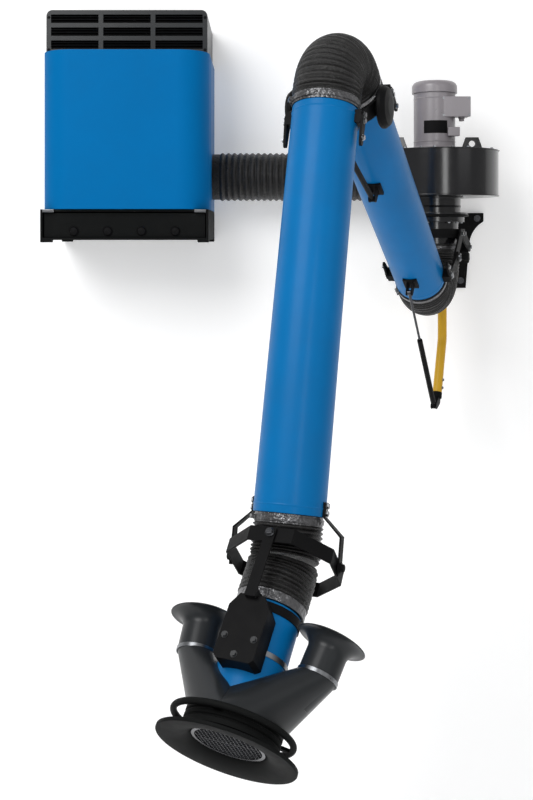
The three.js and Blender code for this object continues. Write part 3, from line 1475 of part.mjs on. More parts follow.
// Side duct from a horn to the plenum, fitted round the neck and the saddle
function sideDuct(side) {
  const neck = disc(neckSeat, -plenumTop - cutMargin, -hoodNeckTop);
  const room = saddleHalfWidth + cutMargin;
  const saddle = block([-room, room], [-saddleFront, 0], [-saddleBottom - cutMargin, -saddleTop]);
  return sideDuctHull(side, 0).subtract(sideDuctHull(side, hornWall)).subtract(neck).subtract(saddle);
}

piece(gimbal, 'gimbal_ring', gimbalRing(), 'black');
piece(hood, 'hood_hanger', hoodHanger(), 'black');
piece(hood, 'hood_hose_lower',
  hoodHoseHalf([0, -hoodNeckTop + seatGap], Math.PI / 2, 1, hoodNeckTop), 'rubber');
piece(hood, 'hood_neck', hoodNeck(), 'blue');
piece(hood, 'plenum', plenum(), 'black');
piece(hood, 'dish', dish(), 'black');
piece(hood, 'inlet_grille', inletGrille(), 'steel');
piece(hood, 'ring_handle', ringHandle(), 'black');
for (const [name, side] of [['left', -1], ['right', 1]]) {
  const mouth = frame(hood, side * hornSpread, hornSetback, -hornDrop);
  mouth.rotation.y = side * radians(hornSplay);
  piece(mouth, `horn_${name}`, supplyHorn(), 'black');
  piece(mouth, `supply_fan_${name}`, supplyFan(), 'steel');
  piece(hood, `side_duct_${name}`, sideDuct(side), 'black');
}

export default root;
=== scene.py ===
"""Dressed fume extraction arm: wall bracket, fan, filter cabinet, two jointed tubes and a hood with air supply horns."""

import math

import bmesh
import bpy
from bpy.props import FloatProperty, FloatVectorProperty, IntProperty, PointerProperty
from mathutils import Matrix, Vector, noise


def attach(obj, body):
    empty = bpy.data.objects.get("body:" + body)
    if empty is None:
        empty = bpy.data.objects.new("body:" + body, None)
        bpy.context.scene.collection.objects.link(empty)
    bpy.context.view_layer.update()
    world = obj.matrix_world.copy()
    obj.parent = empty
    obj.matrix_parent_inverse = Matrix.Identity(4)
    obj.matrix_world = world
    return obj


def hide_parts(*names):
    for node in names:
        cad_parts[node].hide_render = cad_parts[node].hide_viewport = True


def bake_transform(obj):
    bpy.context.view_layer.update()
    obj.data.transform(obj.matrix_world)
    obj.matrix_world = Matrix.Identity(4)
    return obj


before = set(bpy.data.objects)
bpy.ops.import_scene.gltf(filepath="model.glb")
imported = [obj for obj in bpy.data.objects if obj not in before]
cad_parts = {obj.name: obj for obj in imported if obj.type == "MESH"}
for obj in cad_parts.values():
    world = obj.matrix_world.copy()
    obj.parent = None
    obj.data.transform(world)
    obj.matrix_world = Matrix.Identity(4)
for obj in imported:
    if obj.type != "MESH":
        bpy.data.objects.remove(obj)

bl_info = {
    "name": "Fume Extraction Arm",
    "version": (1, 0, 0),
    "blender": (4, 5, 0),
    "location": "View3D > Sidebar > Fume Arm",
    "description": "Dresses a wall-mounted fume extraction arm with its fan, duct and filter cabinet",
    "category": "Object",
}

# Drawing is in millimetres, and every place below turns it into the frame's metres.
MILLIMETRES = Matrix.Scale(0.001, 4)
ROUND = 96
SMALL_ROUND = 32
TINY = 1e-6


def moved(x, y, z):
    """Place shifted by millimetres."""
    return Matrix.Translation((x, y, z))


def turned(axis, degrees):
    """Place turned about one of its own axes."""
    return Matrix.Rotation(math.radians(degrees), 4, axis)


# Places of the bodies at rest, nested as the joints are
WALL = MILLIMETRES
SWIVEL = WALL @ moved(0, -380, 0) @ turned("Z", -21)
INNER = SWIVEL @ moved(0, -140, -21) @ turned("X", -33.2)
INNER_AXIS = INNER @ moved(0, 0, -140) @ turned("X", 90)
OUTER = INNER @ moved(0, -1312, -270) @ turned("X", 17.4)
OUTER_AXIS = OUTER @ moved(0, -130, 0)
GIMBAL = OUTER_AXIS @ moved(0, 0, -1384) @ turned("X", -27.7)
HOOD = GIMBAL @ turned("Y", 2.9)
LIFT_SPRING = SWIVEL @ moved(0, -8, -667) @ turned("X", 41.15)
ELBOW_SPRING = INNER @ moved(0, -836, -285) @ turned("X", 98.1)
FAN_AXIS = WALL @ moved(0, -380, 0)
SIDES = {"left": -1, "right": 1}


def horn_place(side):
    """Place of an air supply horn, with its mouth at zero."""
    return HOOD @ moved(side * 183, 18, -187) @ turned("Y", side * 7.5)


def linear(red, green, blue):
    """Scene-linear colour from values of 0 to 255 as a screen shows them."""
    parts = [value / 255 for value in (red, green, blue)]
    return tuple(v / 12.92 if v <= 0.04045 else ((v + 0.055) / 1.055) ** 2.4 for v in parts)


def shade(name, description, red, green, blue):
    """Colour property of a finish."""
    return FloatVectorProperty(name=name, description=description, subtype="COLOR", size=3, min=0, max=1,
                               default=linear(red, green, blue))


def size(name, description, millimetres):
    """Length property, kept in the scene's metres."""
    return FloatProperty(name=name, description=description, default=millimetres / 1000, min=0,
                         unit="LENGTH", subtype="DISTANCE", precision=4)


class ArmFinishes(bpy.types.PropertyGroup):
    """Colours of the finishes"""

    blue: shade("Blue paint", "Powder coat of the tubes and the cabinet cover", 2, 106, 168)
    black: shade("Black paint", "Powder coat of brackets, cabinet and plates", 18, 18, 19)
    gloss: shade("Fan black", "Gloss enamel of the fan housing", 20, 20, 23)
    grey: shade("Motor grey", "Enamel of the motor and its boxes", 138, 133, 137)
    yellow: shade("Lever yellow", "Paint of the balance lever", 214, 166, 34)
    hose: shade("Hose black", "Coated fabric of the hoses", 16, 16, 16)
    plastic: shade("Moulded black", "Moulded drum, dish and handle", 22, 23, 23)
    moulding: shade("Horn black", "Satin skin of the horns, the grille and the cabinet base", 38, 40, 42)
    steel: shade("Bright steel", "Zinc-plated bolts, bands and pivots", 132, 134, 137)
    rod: shade("Rod grey", "Dark chromed rods of the gas springs", 72, 73, 76)
    foil: shade("Cuff grey", "Metal-faced tape on the hose ends", 108, 108, 110)
    paper: shade("Filter paper", "Pleated medium of the cartridge", 214, 210, 196)


class ArmSizes(bpy.types.PropertyGroup):
    """Sizes that set the look of the arm"""

    tube_radius: size("Tube radius", "Outside radius of both arm tubes", 101.5)
    rim_bead: size("Rim bead", "Height of the rolled bead near each tube end", 1.6)
    rib_depth: size("Hose rib depth", "How far a wire rib stands out of the hose", 5.5)
    rib_pitch: size("Hose rib pitch", "Distance between two wire ribs", 12.5)
    duct_pitch: size("Duct rib pitch", "Distance between two ribs of the duct", 27)
    crease: size("Hose crease", "Depth of the soft creases between ribs", 2.4)
    edge: size("Edge radius", "Rounding of plate and sheet edges", 1.6)
    bolt_radius: size("Bolt head radius", "Half the width of the common bolt heads", 8)
    mesh_pitch: size("Guard mesh pitch", "Distance between wires of the inlet guard", 11)
    mesh_wire: size("Guard mesh wire", "Half the thickness of the guard's wires", 1.1)
    hose_sides: IntProperty(name="Hose sides", description="Points round a hose", default=72, min=12, max=160)


class StageLight(bpy.types.PropertyGroup):
    """Soft light and the pale room"""

    key: FloatProperty(name="Key light", description="Power of the large front light", default=205, min=0,
                       unit="POWER")
    side: FloatProperty(name="Side light", description="Power of the light from the right", default=12, min=0,
                        unit="POWER")
    strip: FloatProperty(name="Strip light", description="Power of the narrow upright light", default=30, min=0,
                         unit="POWER")
    room: FloatProperty(name="Room light", description="Strength of the even light from all sides", default=0.33,
                        min=0)
    glow: FloatProperty(name="Wall glow", description="Light that the pale wall gives by itself", default=0.22, min=0)
    wall: shade("Wall", "Pale wall and floor", 250, 250, 250)


def millimetres(length):
    """Millimetres of a length property."""
    return length * 1000


def sizes():
    """Sizes set in the scene."""
    return bpy.context.scene.fume_arm_sizes


class Shape:
    """Points and faces of one piece, drawn in millimetres and placed as they are added."""

    def __init__(self):
        self.points = []
        self.faces = []

    def add(self, place, points, faces):
        first = len(self.points)
        self.points += [place @ Vector(point) for point in points]
        self.faces += [[first + index for index in face] for face in faces]
        return self

    def lathe(self, place, outline, sides=ROUND):
        """Turns a closed outline of radius and height round the local Z axis."""
        points, rings = [], []
        for radius, height in outline:
            if radius < TINY:
                rings.append([len(points)])
                points.append((0, 0, height))
                continue
            rings.append(list(range(len(points), len(points) + sides)))
            for step in range(sides):
                turn = 2 * math.pi * step / sides
                points.append((radius * math.cos(turn), radius * math.sin(turn), height))
        faces = []
        for low, high in zip(rings, rings[1:] + rings[:1]):
            for step in range(sides if len(low) + len(high) > 2 else 0):
                after = (step + 1) % sides
                corners = [low[step % len(low)], low[after % len(low)], high[after % len(high)],
                           high[step % len(high)]]
                faces.append(list(dict.fromkeys(corners)))
        return self.add(place, points, faces)

    def slab(self, place, outline, low, high):
        """Straight prism of an outline between two local heights."""
        count = len(outline)
        points = [(x, y, low) for x, y in outline] + [(x, y, high) for x, y in outline]
        faces = [list(range(count))[::-1], list(range(count, 2 * count))]
        faces += [[i, (i + 1) % count, count + (i + 1) % count, count + i] for i in range(count)]
        return self.add(place, points, faces)

    def block(self, place, low, high):
        """Box between two local corners."""
        outline = [(low[0], low[1]), (high[0], low[1]), (high[0], high[1]), (low[0], high[1])]
        return self.slab(place, outline, low[2], high[2])

    def pipe(self, place, path, radius, sides=SMALL_ROUND, closed=False):
        """Round bar along a path of points. The radius is one value or one for each point."""
        path = [Vector(point) for point in path]
        count = len(path)
        widths = radius if isinstance(radius, list) else [radius] * count
        rings, across = [], None
        for step, point in enumerate(path):
            before = path[step - 1] if step or closed else point
            after = path[(step + 1) % count] if step < count - 1 or closed else point
            along = (after - before).normalized()
            if across is None:
                across = along.orthogonal().normalized()
            across = (across - along * across.dot(along)).normalized()
            other = along.cross(across)
            rings.append([point + widths[step] * (math.cos(turn) * across + math.sin(turn) * other)
                          for turn in (2 * math.pi * side / sides for side in range(sides))])
        return self.skin(place, rings, closed)

    def skin(self, place, rings, closed):
        """Skin over rings of points: ends are capped, unless the rings close on themselves."""
        count, sides = len(rings), len(rings[0])
        faces = []
        for step in range(count if closed else count - 1):
            low, high = step * sides, ((step + 1) % count) * sides
            for side in range(sides):
                after = (side + 1) % sides
                faces.append([low + side, low + after, high + after, high + side])
        if not closed:
            faces.append(list(range(sides))[::-1])
            faces.append(list(range((count - 1) * sides, count * sides)))
        return self.add(place, [point for ring in rings for point in ring], faces)

    def made(self, name, finish, body, slot, nodes=(), edge=0.0, smooth=35):
        """Finished piece: closed, faced outwards, rounded at its edges and riding its body."""
        shell = bmesh.new()
        corners = [shell.verts.new(point) for point in self.points]
        for face in self.faces:
            if len(set(face)) > 2:
                shell.faces.new([corners[i] for i in face])
        return finished(name, shell, finish, body, nodes, edge, smooth)


def finished(name, shell, finish, body, nodes, edge, smooth):
    """Turns a bmesh into a piece of the scene."""
    bmesh.ops.remove_doubles(shell, verts=list(shell.verts), dist=2e-5)
    bmesh.ops.recalc_face_normals(shell, faces=list(shell.faces))
    if edge:
        sharp = [e for e in shell.edges if len(e.link_faces) == 2 and e.calc_face_angle(0) > math.radians(40)]
        bmesh.ops.bevel(shell, geom=sharp, offset=edge, offset_type="OFFSET", segments=2, profile=0.6,
                        affect="EDGES", clamp_overlap=True)
    mesh = bpy.data.meshes.new(name)
    shell.to_mesh(mesh)
    shell.free()
    return shown(name, mesh, finish, body, nodes, smooth)


def shown(name, mesh, finish, body, nodes=(), smooth=35):
    """Puts a mesh in the scene with its finish, its body and the CAD nodes it stands for."""
    piece = bpy.data.objects.new(name, mesh)
    bpy.context.scene.collection.objects.link(piece)
    mesh.materials.clear()
    mesh.materials.append(finish)
    mesh.shade_smooth()
    mesh.set_sharp_from_angle(angle=math.radians(smooth))
    even = piece.modifiers.new("Even Shading", "WEIGHTED_NORMAL")
    even.keep_sharp = True
    if body:
        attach(piece, body)
    if nodes:
        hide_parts(*nodes)
    return piece


def eased(node, finish, body, edge, merge=True):
    """Copy of a CAD node with rounded edges, and merged faces if they have no holes, shown in its place."""
    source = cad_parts[node]
    shell = bmesh.new()
    shell.from_mesh(source.data)
    shell.transform(source.matrix_world)
    bmesh.ops.remove_doubles(shell, verts=list(shell.verts), dist=2e-5)
    if merge:
        bmesh.ops.dissolve_limit(shell, angle_limit=math.radians(1), verts=list(shell.verts),
                                 edges=list(shell.edges))
    return finished(f"{node}_shown", shell, finish, body, (node,), edge, 40)


def dressed(node, finish):
    """Gives a CAD node that stays in view its finish."""
    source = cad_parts[node]
    source.data.materials.clear()
    source.data.materials.append(finish)


def rounded(outline, radius, closed=True, steps=4):
    """Outline with each corner turned into a short arc."""
    points = []
    count = len(outline)
    for i in range(count):
        corner = Vector(outline[i])
        if not closed and i in (0, count - 1):
            points.append(tuple(corner))
            continue
        before = Vector(outline[i - 1]) - corner
        after = Vector(outline[(i + 1) % count]) - corner
        bend = math.pi - before.angle(after, math.pi)
        cut = min(radius * math.tan(bend / 2), before.length * 0.45, after.length * 0.45)
        if bend < 0.05 or cut < 0.01:
            points.append(tuple(corner))
            continue
        start, end = corner + before.normalized() * cut, corner + after.normalized() * cut
        for step in range(steps + 1):
            t = step / steps
            points.append(tuple((1 - t) ** 2 * start + 2 * t * (1 - t) * corner + t * t * end))
    return points


def arc(centre, radius, start, end, steps):
    """Points of a circular arc, in degrees."""
    turns = [math.radians(start + (end - start) * i / steps) for i in range(steps + 1)]
    return [(centre[0] + radius * math.cos(t), centre[1] + radius * math.sin(t)) for t in turns]


class Nodes:
    """Adds nodes to a tree and links or sets their inputs."""

    def __init__(self, tree):
        self.tree = tree

    def add(self, kind, inputs=None, **settings):
        node = self.tree.nodes.new(kind)
        for key, value in settings.items():
            setattr(node, key, value)
        for key, value in (inputs or {}).items():
            if isinstance(value, bpy.types.NodeSocket):
                self.tree.links.new(value, node.inputs[key])
            else:
                node.inputs[key].default_value = value
        return node

    def math(self, operation, first, second=0.0, clamp=False):
        node = self.add("ShaderNodeMath", {0: first, 1: second}, operation=operation, use_clamp=clamp)
        return node.outputs[0]

    def blend(self, factor, first, second):
        """Colour between two colours."""
        node = self.tree.nodes.new("ShaderNodeMix")
        node.data_type = "RGBA"
        for index, value in ((0, factor), (6, first), (7, second)):
            if isinstance(value, bpy.types.NodeSocket):
                self.tree.links.new(value, node.inputs[index])
            else:
                node.inputs[index].default_value = value if index == 0 else (*value[:3], 1)
        return node.outputs[2]


def group_tree(name, kind, inputs, outputs):
    """Empty node group with named inputs and outputs, and its two end nodes."""
    tree = bpy.data.node_groups.new(name, kind)
    for label, socket, value in inputs:
        made = tree.interface.new_socket(label, in_out="INPUT", socket_type=socket)
        if value is not None:
            made.default_value = value
    for label, socket in outputs:
        tree.interface.new_socket(label, in_out="OUTPUT", socket_type=socket)
    return tree, Nodes(tree), tree.nodes.new("NodeGroupInput").outputs, tree.nodes.new("NodeGroupOutput").inputs


def surface_grain():
    """Group with the slow mottling, the fine texture and the roughness spread of a coated surface."""
    tree, nodes, given, result = group_tree(
        "Surface Grain", "ShaderNodeTree",
        [("Colour", "NodeSocketColor", (0.5, 0.5, 0.5, 1)), ("Shade", "NodeSocketColor", (0.3, 0.3, 0.3, 1)),
         ("Grain Scale", "NodeSocketFloat", 600.0), ("Roughness", "NodeSocketFloat", 0.4),
         ("Spread", "NodeSocketFloat", 0.1)],
        [("Colour", "NodeSocketColor"), ("Roughness", "NodeSocketFloat"), ("Height", "NodeSocketFloat")])
    place = nodes.add("ShaderNodeTexCoord").outputs["Object"]
    slow = nodes.add("ShaderNodeTexNoise", {"Vector": place, "Scale": 3.5, "Detail": 5.0, "Roughness": 0.6})
    fine = nodes.add("ShaderNodeTexNoise", {"Vector": place, "Scale": given["Grain Scale"], "Detail": 2.0})
    patch = nodes.add("ShaderNodeTexNoise", {"Vector": place, "Scale": 26.0, "Detail": 4.0, "Roughness": 0.7})
    amount = nodes.add("ShaderNodeMapRange", {"Value": slow.outputs[0], "From Min": 0.38, "From Max": 0.68})
    nodes.tree.links.new(nodes.blend(amount.outputs[0], given["Colour"], given["Shade"]), result["Colour"])
    swing = nodes.math("SUBTRACT", patch.outputs[0], 0.5)
    rough = nodes.math("ADD", given["Roughness"], nodes.math("MULTIPLY", swing, given["Spread"]), True)
    nodes.tree.links.new(rough, result["Roughness"])
    nodes.tree.links.new(fine.outputs[0], result["Height"])
    return tree


def handling_marks():
    """Group with the thin scuffs and the settled dust of a workshop."""
    tree, nodes, given, result = group_tree(
        "Handling Marks", "ShaderNodeTree",
        [("Scuffs", "NodeSocketFloat", 0.2), ("Dust", "NodeSocketFloat", 0.2)],
        [("Scuff Mask", "NodeSocketFloat"), ("Dust Mask", "NodeSocketFloat")])
    place = nodes.add("ShaderNodeTexCoord").outputs["Object"]
    drawn = nodes.add("ShaderNodeMapping", {"Vector": place, "Scale": (14.0, 14.0, 90.0), "Rotation": (0.5, 0.3, 0.2)})
    scratch = nodes.add("ShaderNodeTexNoise", {"Vector": drawn.outputs[0], "Scale": 4.0, "Detail": 6.0,
                                                 "Roughness": 0.75})
    thin = nodes.add("ShaderNodeMapRange", {"Value": scratch.outputs[0], "From Min": 0.68, "From Max": 0.76})
    nodes.tree.links.new(nodes.math("MULTIPLY", thin.outputs[0], given["Scuffs"], True), result["Scuff Mask"])
    cloud = nodes.add("ShaderNodeTexNoise", {"Vector": place, "Scale": 7.0, "Detail": 8.0, "Roughness": 0.65})
    soft = nodes.add("ShaderNodeMapRange", {"Value": cloud.outputs[0], "From Min": 0.45, "From Max": 0.8})
    nodes.tree.links.new(nodes.math("MULTIPLY", soft.outputs[0], given["Dust"], True), result["Dust Mask"])
    return tree


DUST = linear(168, 166, 160)
# Each finish: property, shade factor, roughness, spread, grain scale, bump, bump depth, metal, shine, coat, scuffs, dust
FINISHES = {
    "blue": ("blue", 0.88, 0.4, 0.14, 750.0, 0.05, 0.0006, 0.0, 0.1, 0.03, 0.04, 0.008),
    "black": ("black", 0.7, 0.5, 0.2, 650.0, 0.08, 0.0006, 0.0, 0.06, 0.0, 0.08, 0.01),
    "cover": ("blue", 0.94, 0.5, 0.1, 750.0, 0.04, 0.0006, 0.0, 0.03, 0.0, 0.02, 0.002),
    "gloss": ("gloss", 0.7, 0.18, 0.1, 300.0, 0.02, 0.0006, 0.0, 0.5, 0.2, 0.05, 0.01),
    "grey": ("grey", 0.84, 0.3, 0.18, 240.0, 0.35, 0.0012, 0.0, 0.6, 0.0, 0.08, 0.04),
    "yellow": ("yellow", 0.86, 0.42, 0.14, 700.0, 0.05, 0.0006, 0.0, 0.3, 0.1, 0.1, 0.03),
    "plastic": ("plastic", 0.75, 0.56, 0.18, 900.0, 0.07, 0.0006, 0.0, 0.03, 0.0, 0.08, 0.01),
    "horn": ("moulding", 0.85, 0.34, 0.12, 900.0, 0.04, 0.0006, 0.0, 0.22, 0.03, 0.06, 0.01),
    "steel": ("steel", 0.8, 0.3, 0.2, 500.0, 0.04, 0.0006, 1.0, 0.5, 0.0, 0.1, 0.02),
    "rod": ("rod", 0.9, 0.25, 0.1, 500.0, 0.02, 0.0006, 1.0, 0.5, 0.0, 0.05, 0.02),
    "foil": ("foil", 0.6, 0.3, 0.3, 75.0, 1.0, 0.006, 0.8, 0.5, 0.0, 0.1, 0.03),
}


def coated(name, groups):
    """Material of a coated or plated surface, from the table of finishes."""
    source, factor, rough, spread, grain, bump, depth, metal, shine, coat, scuffs, dust = FINISHES[name]
    colour = tuple(getattr(bpy.context.scene.fume_arm_finishes, source))
    material = bpy.data.materials.new(f"{name.title()} Finish")
    material.use_nodes = True
    nodes = Nodes(material.node_tree)
    shader = material.node_tree.nodes["Principled BSDF"]
    surface = nodes.add("ShaderNodeGroup", node_tree=groups[0])
    for key, value in (("Colour", (*colour, 1)), ("Shade", (*(factor * c for c in colour), 1)),
                       ("Grain Scale", grain), ("Roughness", rough), ("Spread", spread)):
        surface.inputs[key].default_value = value
    marks = nodes.add("ShaderNodeGroup", {"Scuffs": scuffs, "Dust": dust}, node_tree=groups[1])
    worn = tuple(min(1.0, 1.9 * c + 0.03) for c in colour)
    scuffed = nodes.blend(marks.outputs["Scuff Mask"], surface.outputs["Colour"], worn)
    nodes.tree.links.new(nodes.blend(marks.outputs["Dust Mask"], scuffed, DUST), shader.inputs["Base Color"])
    duller = nodes.math("MULTIPLY", marks.outputs["Dust Mask"], 0.8)
    nodes.tree.links.new(nodes.math("ADD", surface.outputs["Roughness"], duller, True), shader.inputs["Roughness"])
    relief = nodes.add("ShaderNodeBump", {"Strength": bump, "Distance": depth, "Height": surface.outputs["Height"]})
    nodes.tree.links.new(relief.outputs[0], shader.inputs["Normal"])
    shader.inputs["Metallic"].default_value = metal
    shader.inputs["Specular IOR Level"].default_value = shine
    shader.inputs["Coat Weight"].default_value = coat
    shader.inputs["Coat Roughness"].default_value = 0.18
    return material


def hose_fabric(groups):
    """Coated fabric: darker in the valleys, rubbed paler on the wire ribs, with a woven bump."""
    colour = tuple(bpy.context.scene.fume_arm_finishes.hose)
    material = bpy.data.materials.new("Hose Fabric")
    material.use_nodes = True
    nodes = Nodes(material.node_tree)
    shader = material.node_tree.nodes["Principled BSDF"]
    surface = nodes.add("ShaderNodeGroup", node_tree=groups[0])
    for key, value in (("Colour", (*colour, 1)), ("Shade", (*(0.6 * c for c in colour), 1)),
                       ("Grain Scale", 900.0), ("Roughness", 0.36), ("Spread", 0.22)):
        surface.inputs[key].default_value = value
    marks = nodes.add("ShaderNodeGroup", {"Scuffs": 0.15, "Dust": 0.02}, node_tree=groups[1])
    rib = nodes.add("ShaderNodeAttribute", attribute_name="rib").outputs["Fac"]
    rubbed = nodes.blend(nodes.math("MULTIPLY", rib, 0.4), surface.outputs["Colour"], linear(52, 51, 51))
    nodes.tree.links.new(nodes.blend(marks.outputs["Dust Mask"], rubbed, DUST), shader.inputs["Base Color"])
    nodes.tree.links.new(surface.outputs["Roughness"], shader.inputs["Roughness"])
    place = nodes.add("ShaderNodeTexCoord").outputs["Object"]
    shader.inputs["Specular IOR Level"].default_value = 0.32
    crumple = nodes.add("ShaderNodeTexNoise", {"Vector": place, "Scale": 85.0, "Detail": 5.0, "Roughness": 0.6})
    height = nodes.math("ADD", crumple.outputs[0], nodes.math("MULTIPLY", surface.outputs["Height"], 0.15))
    relief = nodes.add("ShaderNodeBump", {"Strength": 1.0, "Distance": 0.005, "Height": height})
    nodes.tree.links.new(relief.outputs[0], shader.inputs["Normal"])
    return material


def pleated_paper(groups):
    """Filter medium with upright pleats."""
    colour = tuple(bpy.context.scene.fume_arm_finishes.paper)
    material = bpy.data.materials.new("Pleated Paper")
    material.use_nodes = True
    nodes = Nodes(material.node_tree)
    shader = material.node_tree.nodes["Principled BSDF"]
    surface = nodes.add("ShaderNodeGroup", node_tree=groups[0])
    for key, value in (("Colour", (*colour, 1)), ("Shade", (*(0.8 * c for c in colour), 1)),
                       ("Grain Scale", 300.0), ("Roughness", 0.9), ("Spread", 0.1)):
        surface.inputs[key].default_value = value
    nodes.tree.links.new(surface.outputs["Colour"], shader.inputs["Base Color"])
    nodes.tree.links.new(surface.outputs["Roughness"], shader.inputs["Roughness"])
    place = nodes.add("ShaderNodeTexCoord").outputs["Object"]
    pleat = nodes.add("ShaderNodeTexWave", {"Vector": place, "Scale": 30.0}, bands_direction="X")
    relief = nodes.add("ShaderNodeBump", {"Strength": 0.8, "Distance": 0.006, "Height": pleat.outputs["Fac"]})
    nodes.tree.links.new(relief.outputs[0], shader.inputs["Normal"])
    return material


FINISH = {}


def prepare_finishes():
    """Builds the shared groups and one material for each finish."""
    groups = (surface_grain(), handling_marks())
    for name in FINISHES:
        FINISH[name] = coated(name, groups)
    FINISH["hose"] = hose_fabric(groups)
    FINISH["paper"] = pleated_paper(groups)


def hose_tree():
    """Geometry nodes of a wire-ribbed hose along a path."""
    floats = ("Valley Radius", "Rib Depth", "Rib Pitch", "Cuff Radius", "Cuff Start", "Cuff End", "Step", "Crease")
    tree, nodes, given, result = group_tree(
        "Ribbed Hose", "GeometryNodeTree",
        [("Path", "NodeSocketGeometry", None), *((label, "NodeSocketFloat", 1.0) for label in floats),
         ("Sides", "NodeSocketInt", 48), ("Finish", "NodeSocketMaterial", None)],
        [("Geometry", "NodeSocketGeometry")])
    curve = nodes.add("GeometryNodeMeshToCurve", {0: given["Path"]}).outputs[0]
    fine = nodes.add("GeometryNodeResampleCurve", {"Curve": curve, "Length": given["Step"]}, mode="LENGTH").outputs[0]
    along = nodes.add("GeometryNodeSplineParameter").outputs["Length"]
    total = nodes.add("GeometryNodeSplineLength").outputs["Length"]
    start = nodes.math("SUBTRACT", along, given["Cuff Start"])
    end = nodes.math("SUBTRACT", nodes.math("SUBTRACT", total, along), given["Cuff End"])
    inside = nodes.math("MULTIPLY", nodes.math("MINIMUM", start, end), 0.25, True)
    wave = nodes.math("SINE", nodes.math("MULTIPLY", nodes.math("DIVIDE", start, given["Rib Pitch"]), math.pi))
    rib = nodes.math("MULTIPLY", nodes.math("POWER", nodes.math("ABSOLUTE", wave), 1.6), inside)
    ribbed = nodes.math("ADD", given["Valley Radius"], nodes.math("MULTIPLY", rib, given["Rib Depth"]))
    plain = nodes.math("MULTIPLY", nodes.math("SUBTRACT", 1.0, inside), given["Cuff Radius"])
    radius = nodes.math("ADD", nodes.math("MULTIPLY", ribbed, inside), plain)
    marked = nodes.add("GeometryNodeStoreNamedAttribute", {"Geometry": fine, "Name": "rib", "Value": rib},
                       data_type="FLOAT", domain="POINT").outputs[0]
    circle = nodes.add("GeometryNodeCurvePrimitiveCircle", {"Resolution": given["Sides"], "Radius": 1.0}).outputs[0]
    skin = nodes.add("GeometryNodeCurveToMesh", {"Curve": marked, "Profile Curve": circle, "Scale": radius,
                                                   "Fill Caps": True}).outputs[0]
    crumple = nodes.add("ShaderNodeTexNoise", {"Scale": 0.035, "Detail": 3.0, "Roughness": 0.55}).outputs[0]
    kept = nodes.add("GeometryNodeInputNamedAttribute", {"Name": "rib"}, data_type="FLOAT").outputs[0]
    slack = nodes.math("MULTIPLY", nodes.math("SUBTRACT", crumple, 0.62), given["Crease"])
    sunk = nodes.math("MULTIPLY", slack, nodes.math("SUBTRACT", 1.25, kept))
    offset = nodes.add("ShaderNodeVectorMath", {0: nodes.add("GeometryNodeInputNormal").outputs[0]}, operation="SCALE")
    tree.links.new(sunk, offset.inputs["Scale"])
    soft = nodes.add("GeometryNodeSetPosition", {"Geometry": skin, "Offset": offset.outputs[0]}).outputs[0]
    coated_skin = nodes.add("GeometryNodeSetMaterial", {"Geometry": soft, "Material": given["Finish"]}).outputs[0]
    tree.links.new(coated_skin, result["Geometry"])
    return tree


def bolt_tree():
    """Geometry nodes that set a hexagon head on a washer at each point, facing the point's direction."""
    tree, nodes, given, result = group_tree(
        "Hexagon Bolts", "GeometryNodeTree",
        [("Points", "NodeSocketGeometry", None), ("Head Radius", "NodeSocketFloat", 8.0),
         ("Head Height", "NodeSocketFloat", 6.0), ("Finish", "NodeSocketMaterial", None)],
        [("Geometry", "NodeSocketGeometry")])
    height = given["Head Height"]
    washer_height = nodes.math("MULTIPLY", height, 0.25)
    head = nodes.add("GeometryNodeMeshCylinder", {"Vertices": 6, "Radius": given["Head Radius"], "Depth": height})
    washer = nodes.add("GeometryNodeMeshCylinder", {
        "Vertices": 16, "Radius": nodes.math("MULTIPLY", given["Head Radius"], 1.3), "Depth": washer_height})
    raised = []
    for made, rise in ((head, nodes.math("MULTIPLY", height, 0.6)), (washer, nodes.math("MULTIPLY", height, 0.05))):
        shift = nodes.add("ShaderNodeCombineXYZ", {"Z": rise}).outputs[0]
        raised.append(nodes.add("GeometryNodeTransform", {"Geometry": made.outputs[0], "Translation": shift}).outputs[0])
    both = nodes.add("GeometryNodeJoinGeometry")
    for part in raised:
        tree.links.new(part, both.inputs[0])
    facing = nodes.add("GeometryNodeInputNamedAttribute", {"Name": "facing"}, data_type="FLOAT_VECTOR").outputs[0]
    turn = nodes.add("FunctionNodeAlignRotationToVector", {"Vector": facing}, axis="Z").outputs[0]
    points = nodes.add("GeometryNodeMeshToPoints", {0: given["Points"]}).outputs[0]
    placed = nodes.add("GeometryNodeInstanceOnPoints", {"Points": points, "Instance": both.outputs[0],
                                                          "Rotation": turn}).outputs[0]
    real = nodes.add("GeometryNodeRealizeInstances", {0: placed}).outputs[0]
    plated = nodes.add("GeometryNodeSetMaterial", {"Geometry": real, "Material": given["Finish"]}).outputs[0]
    tree.links.new(plated, result["Geometry"])
    return tree


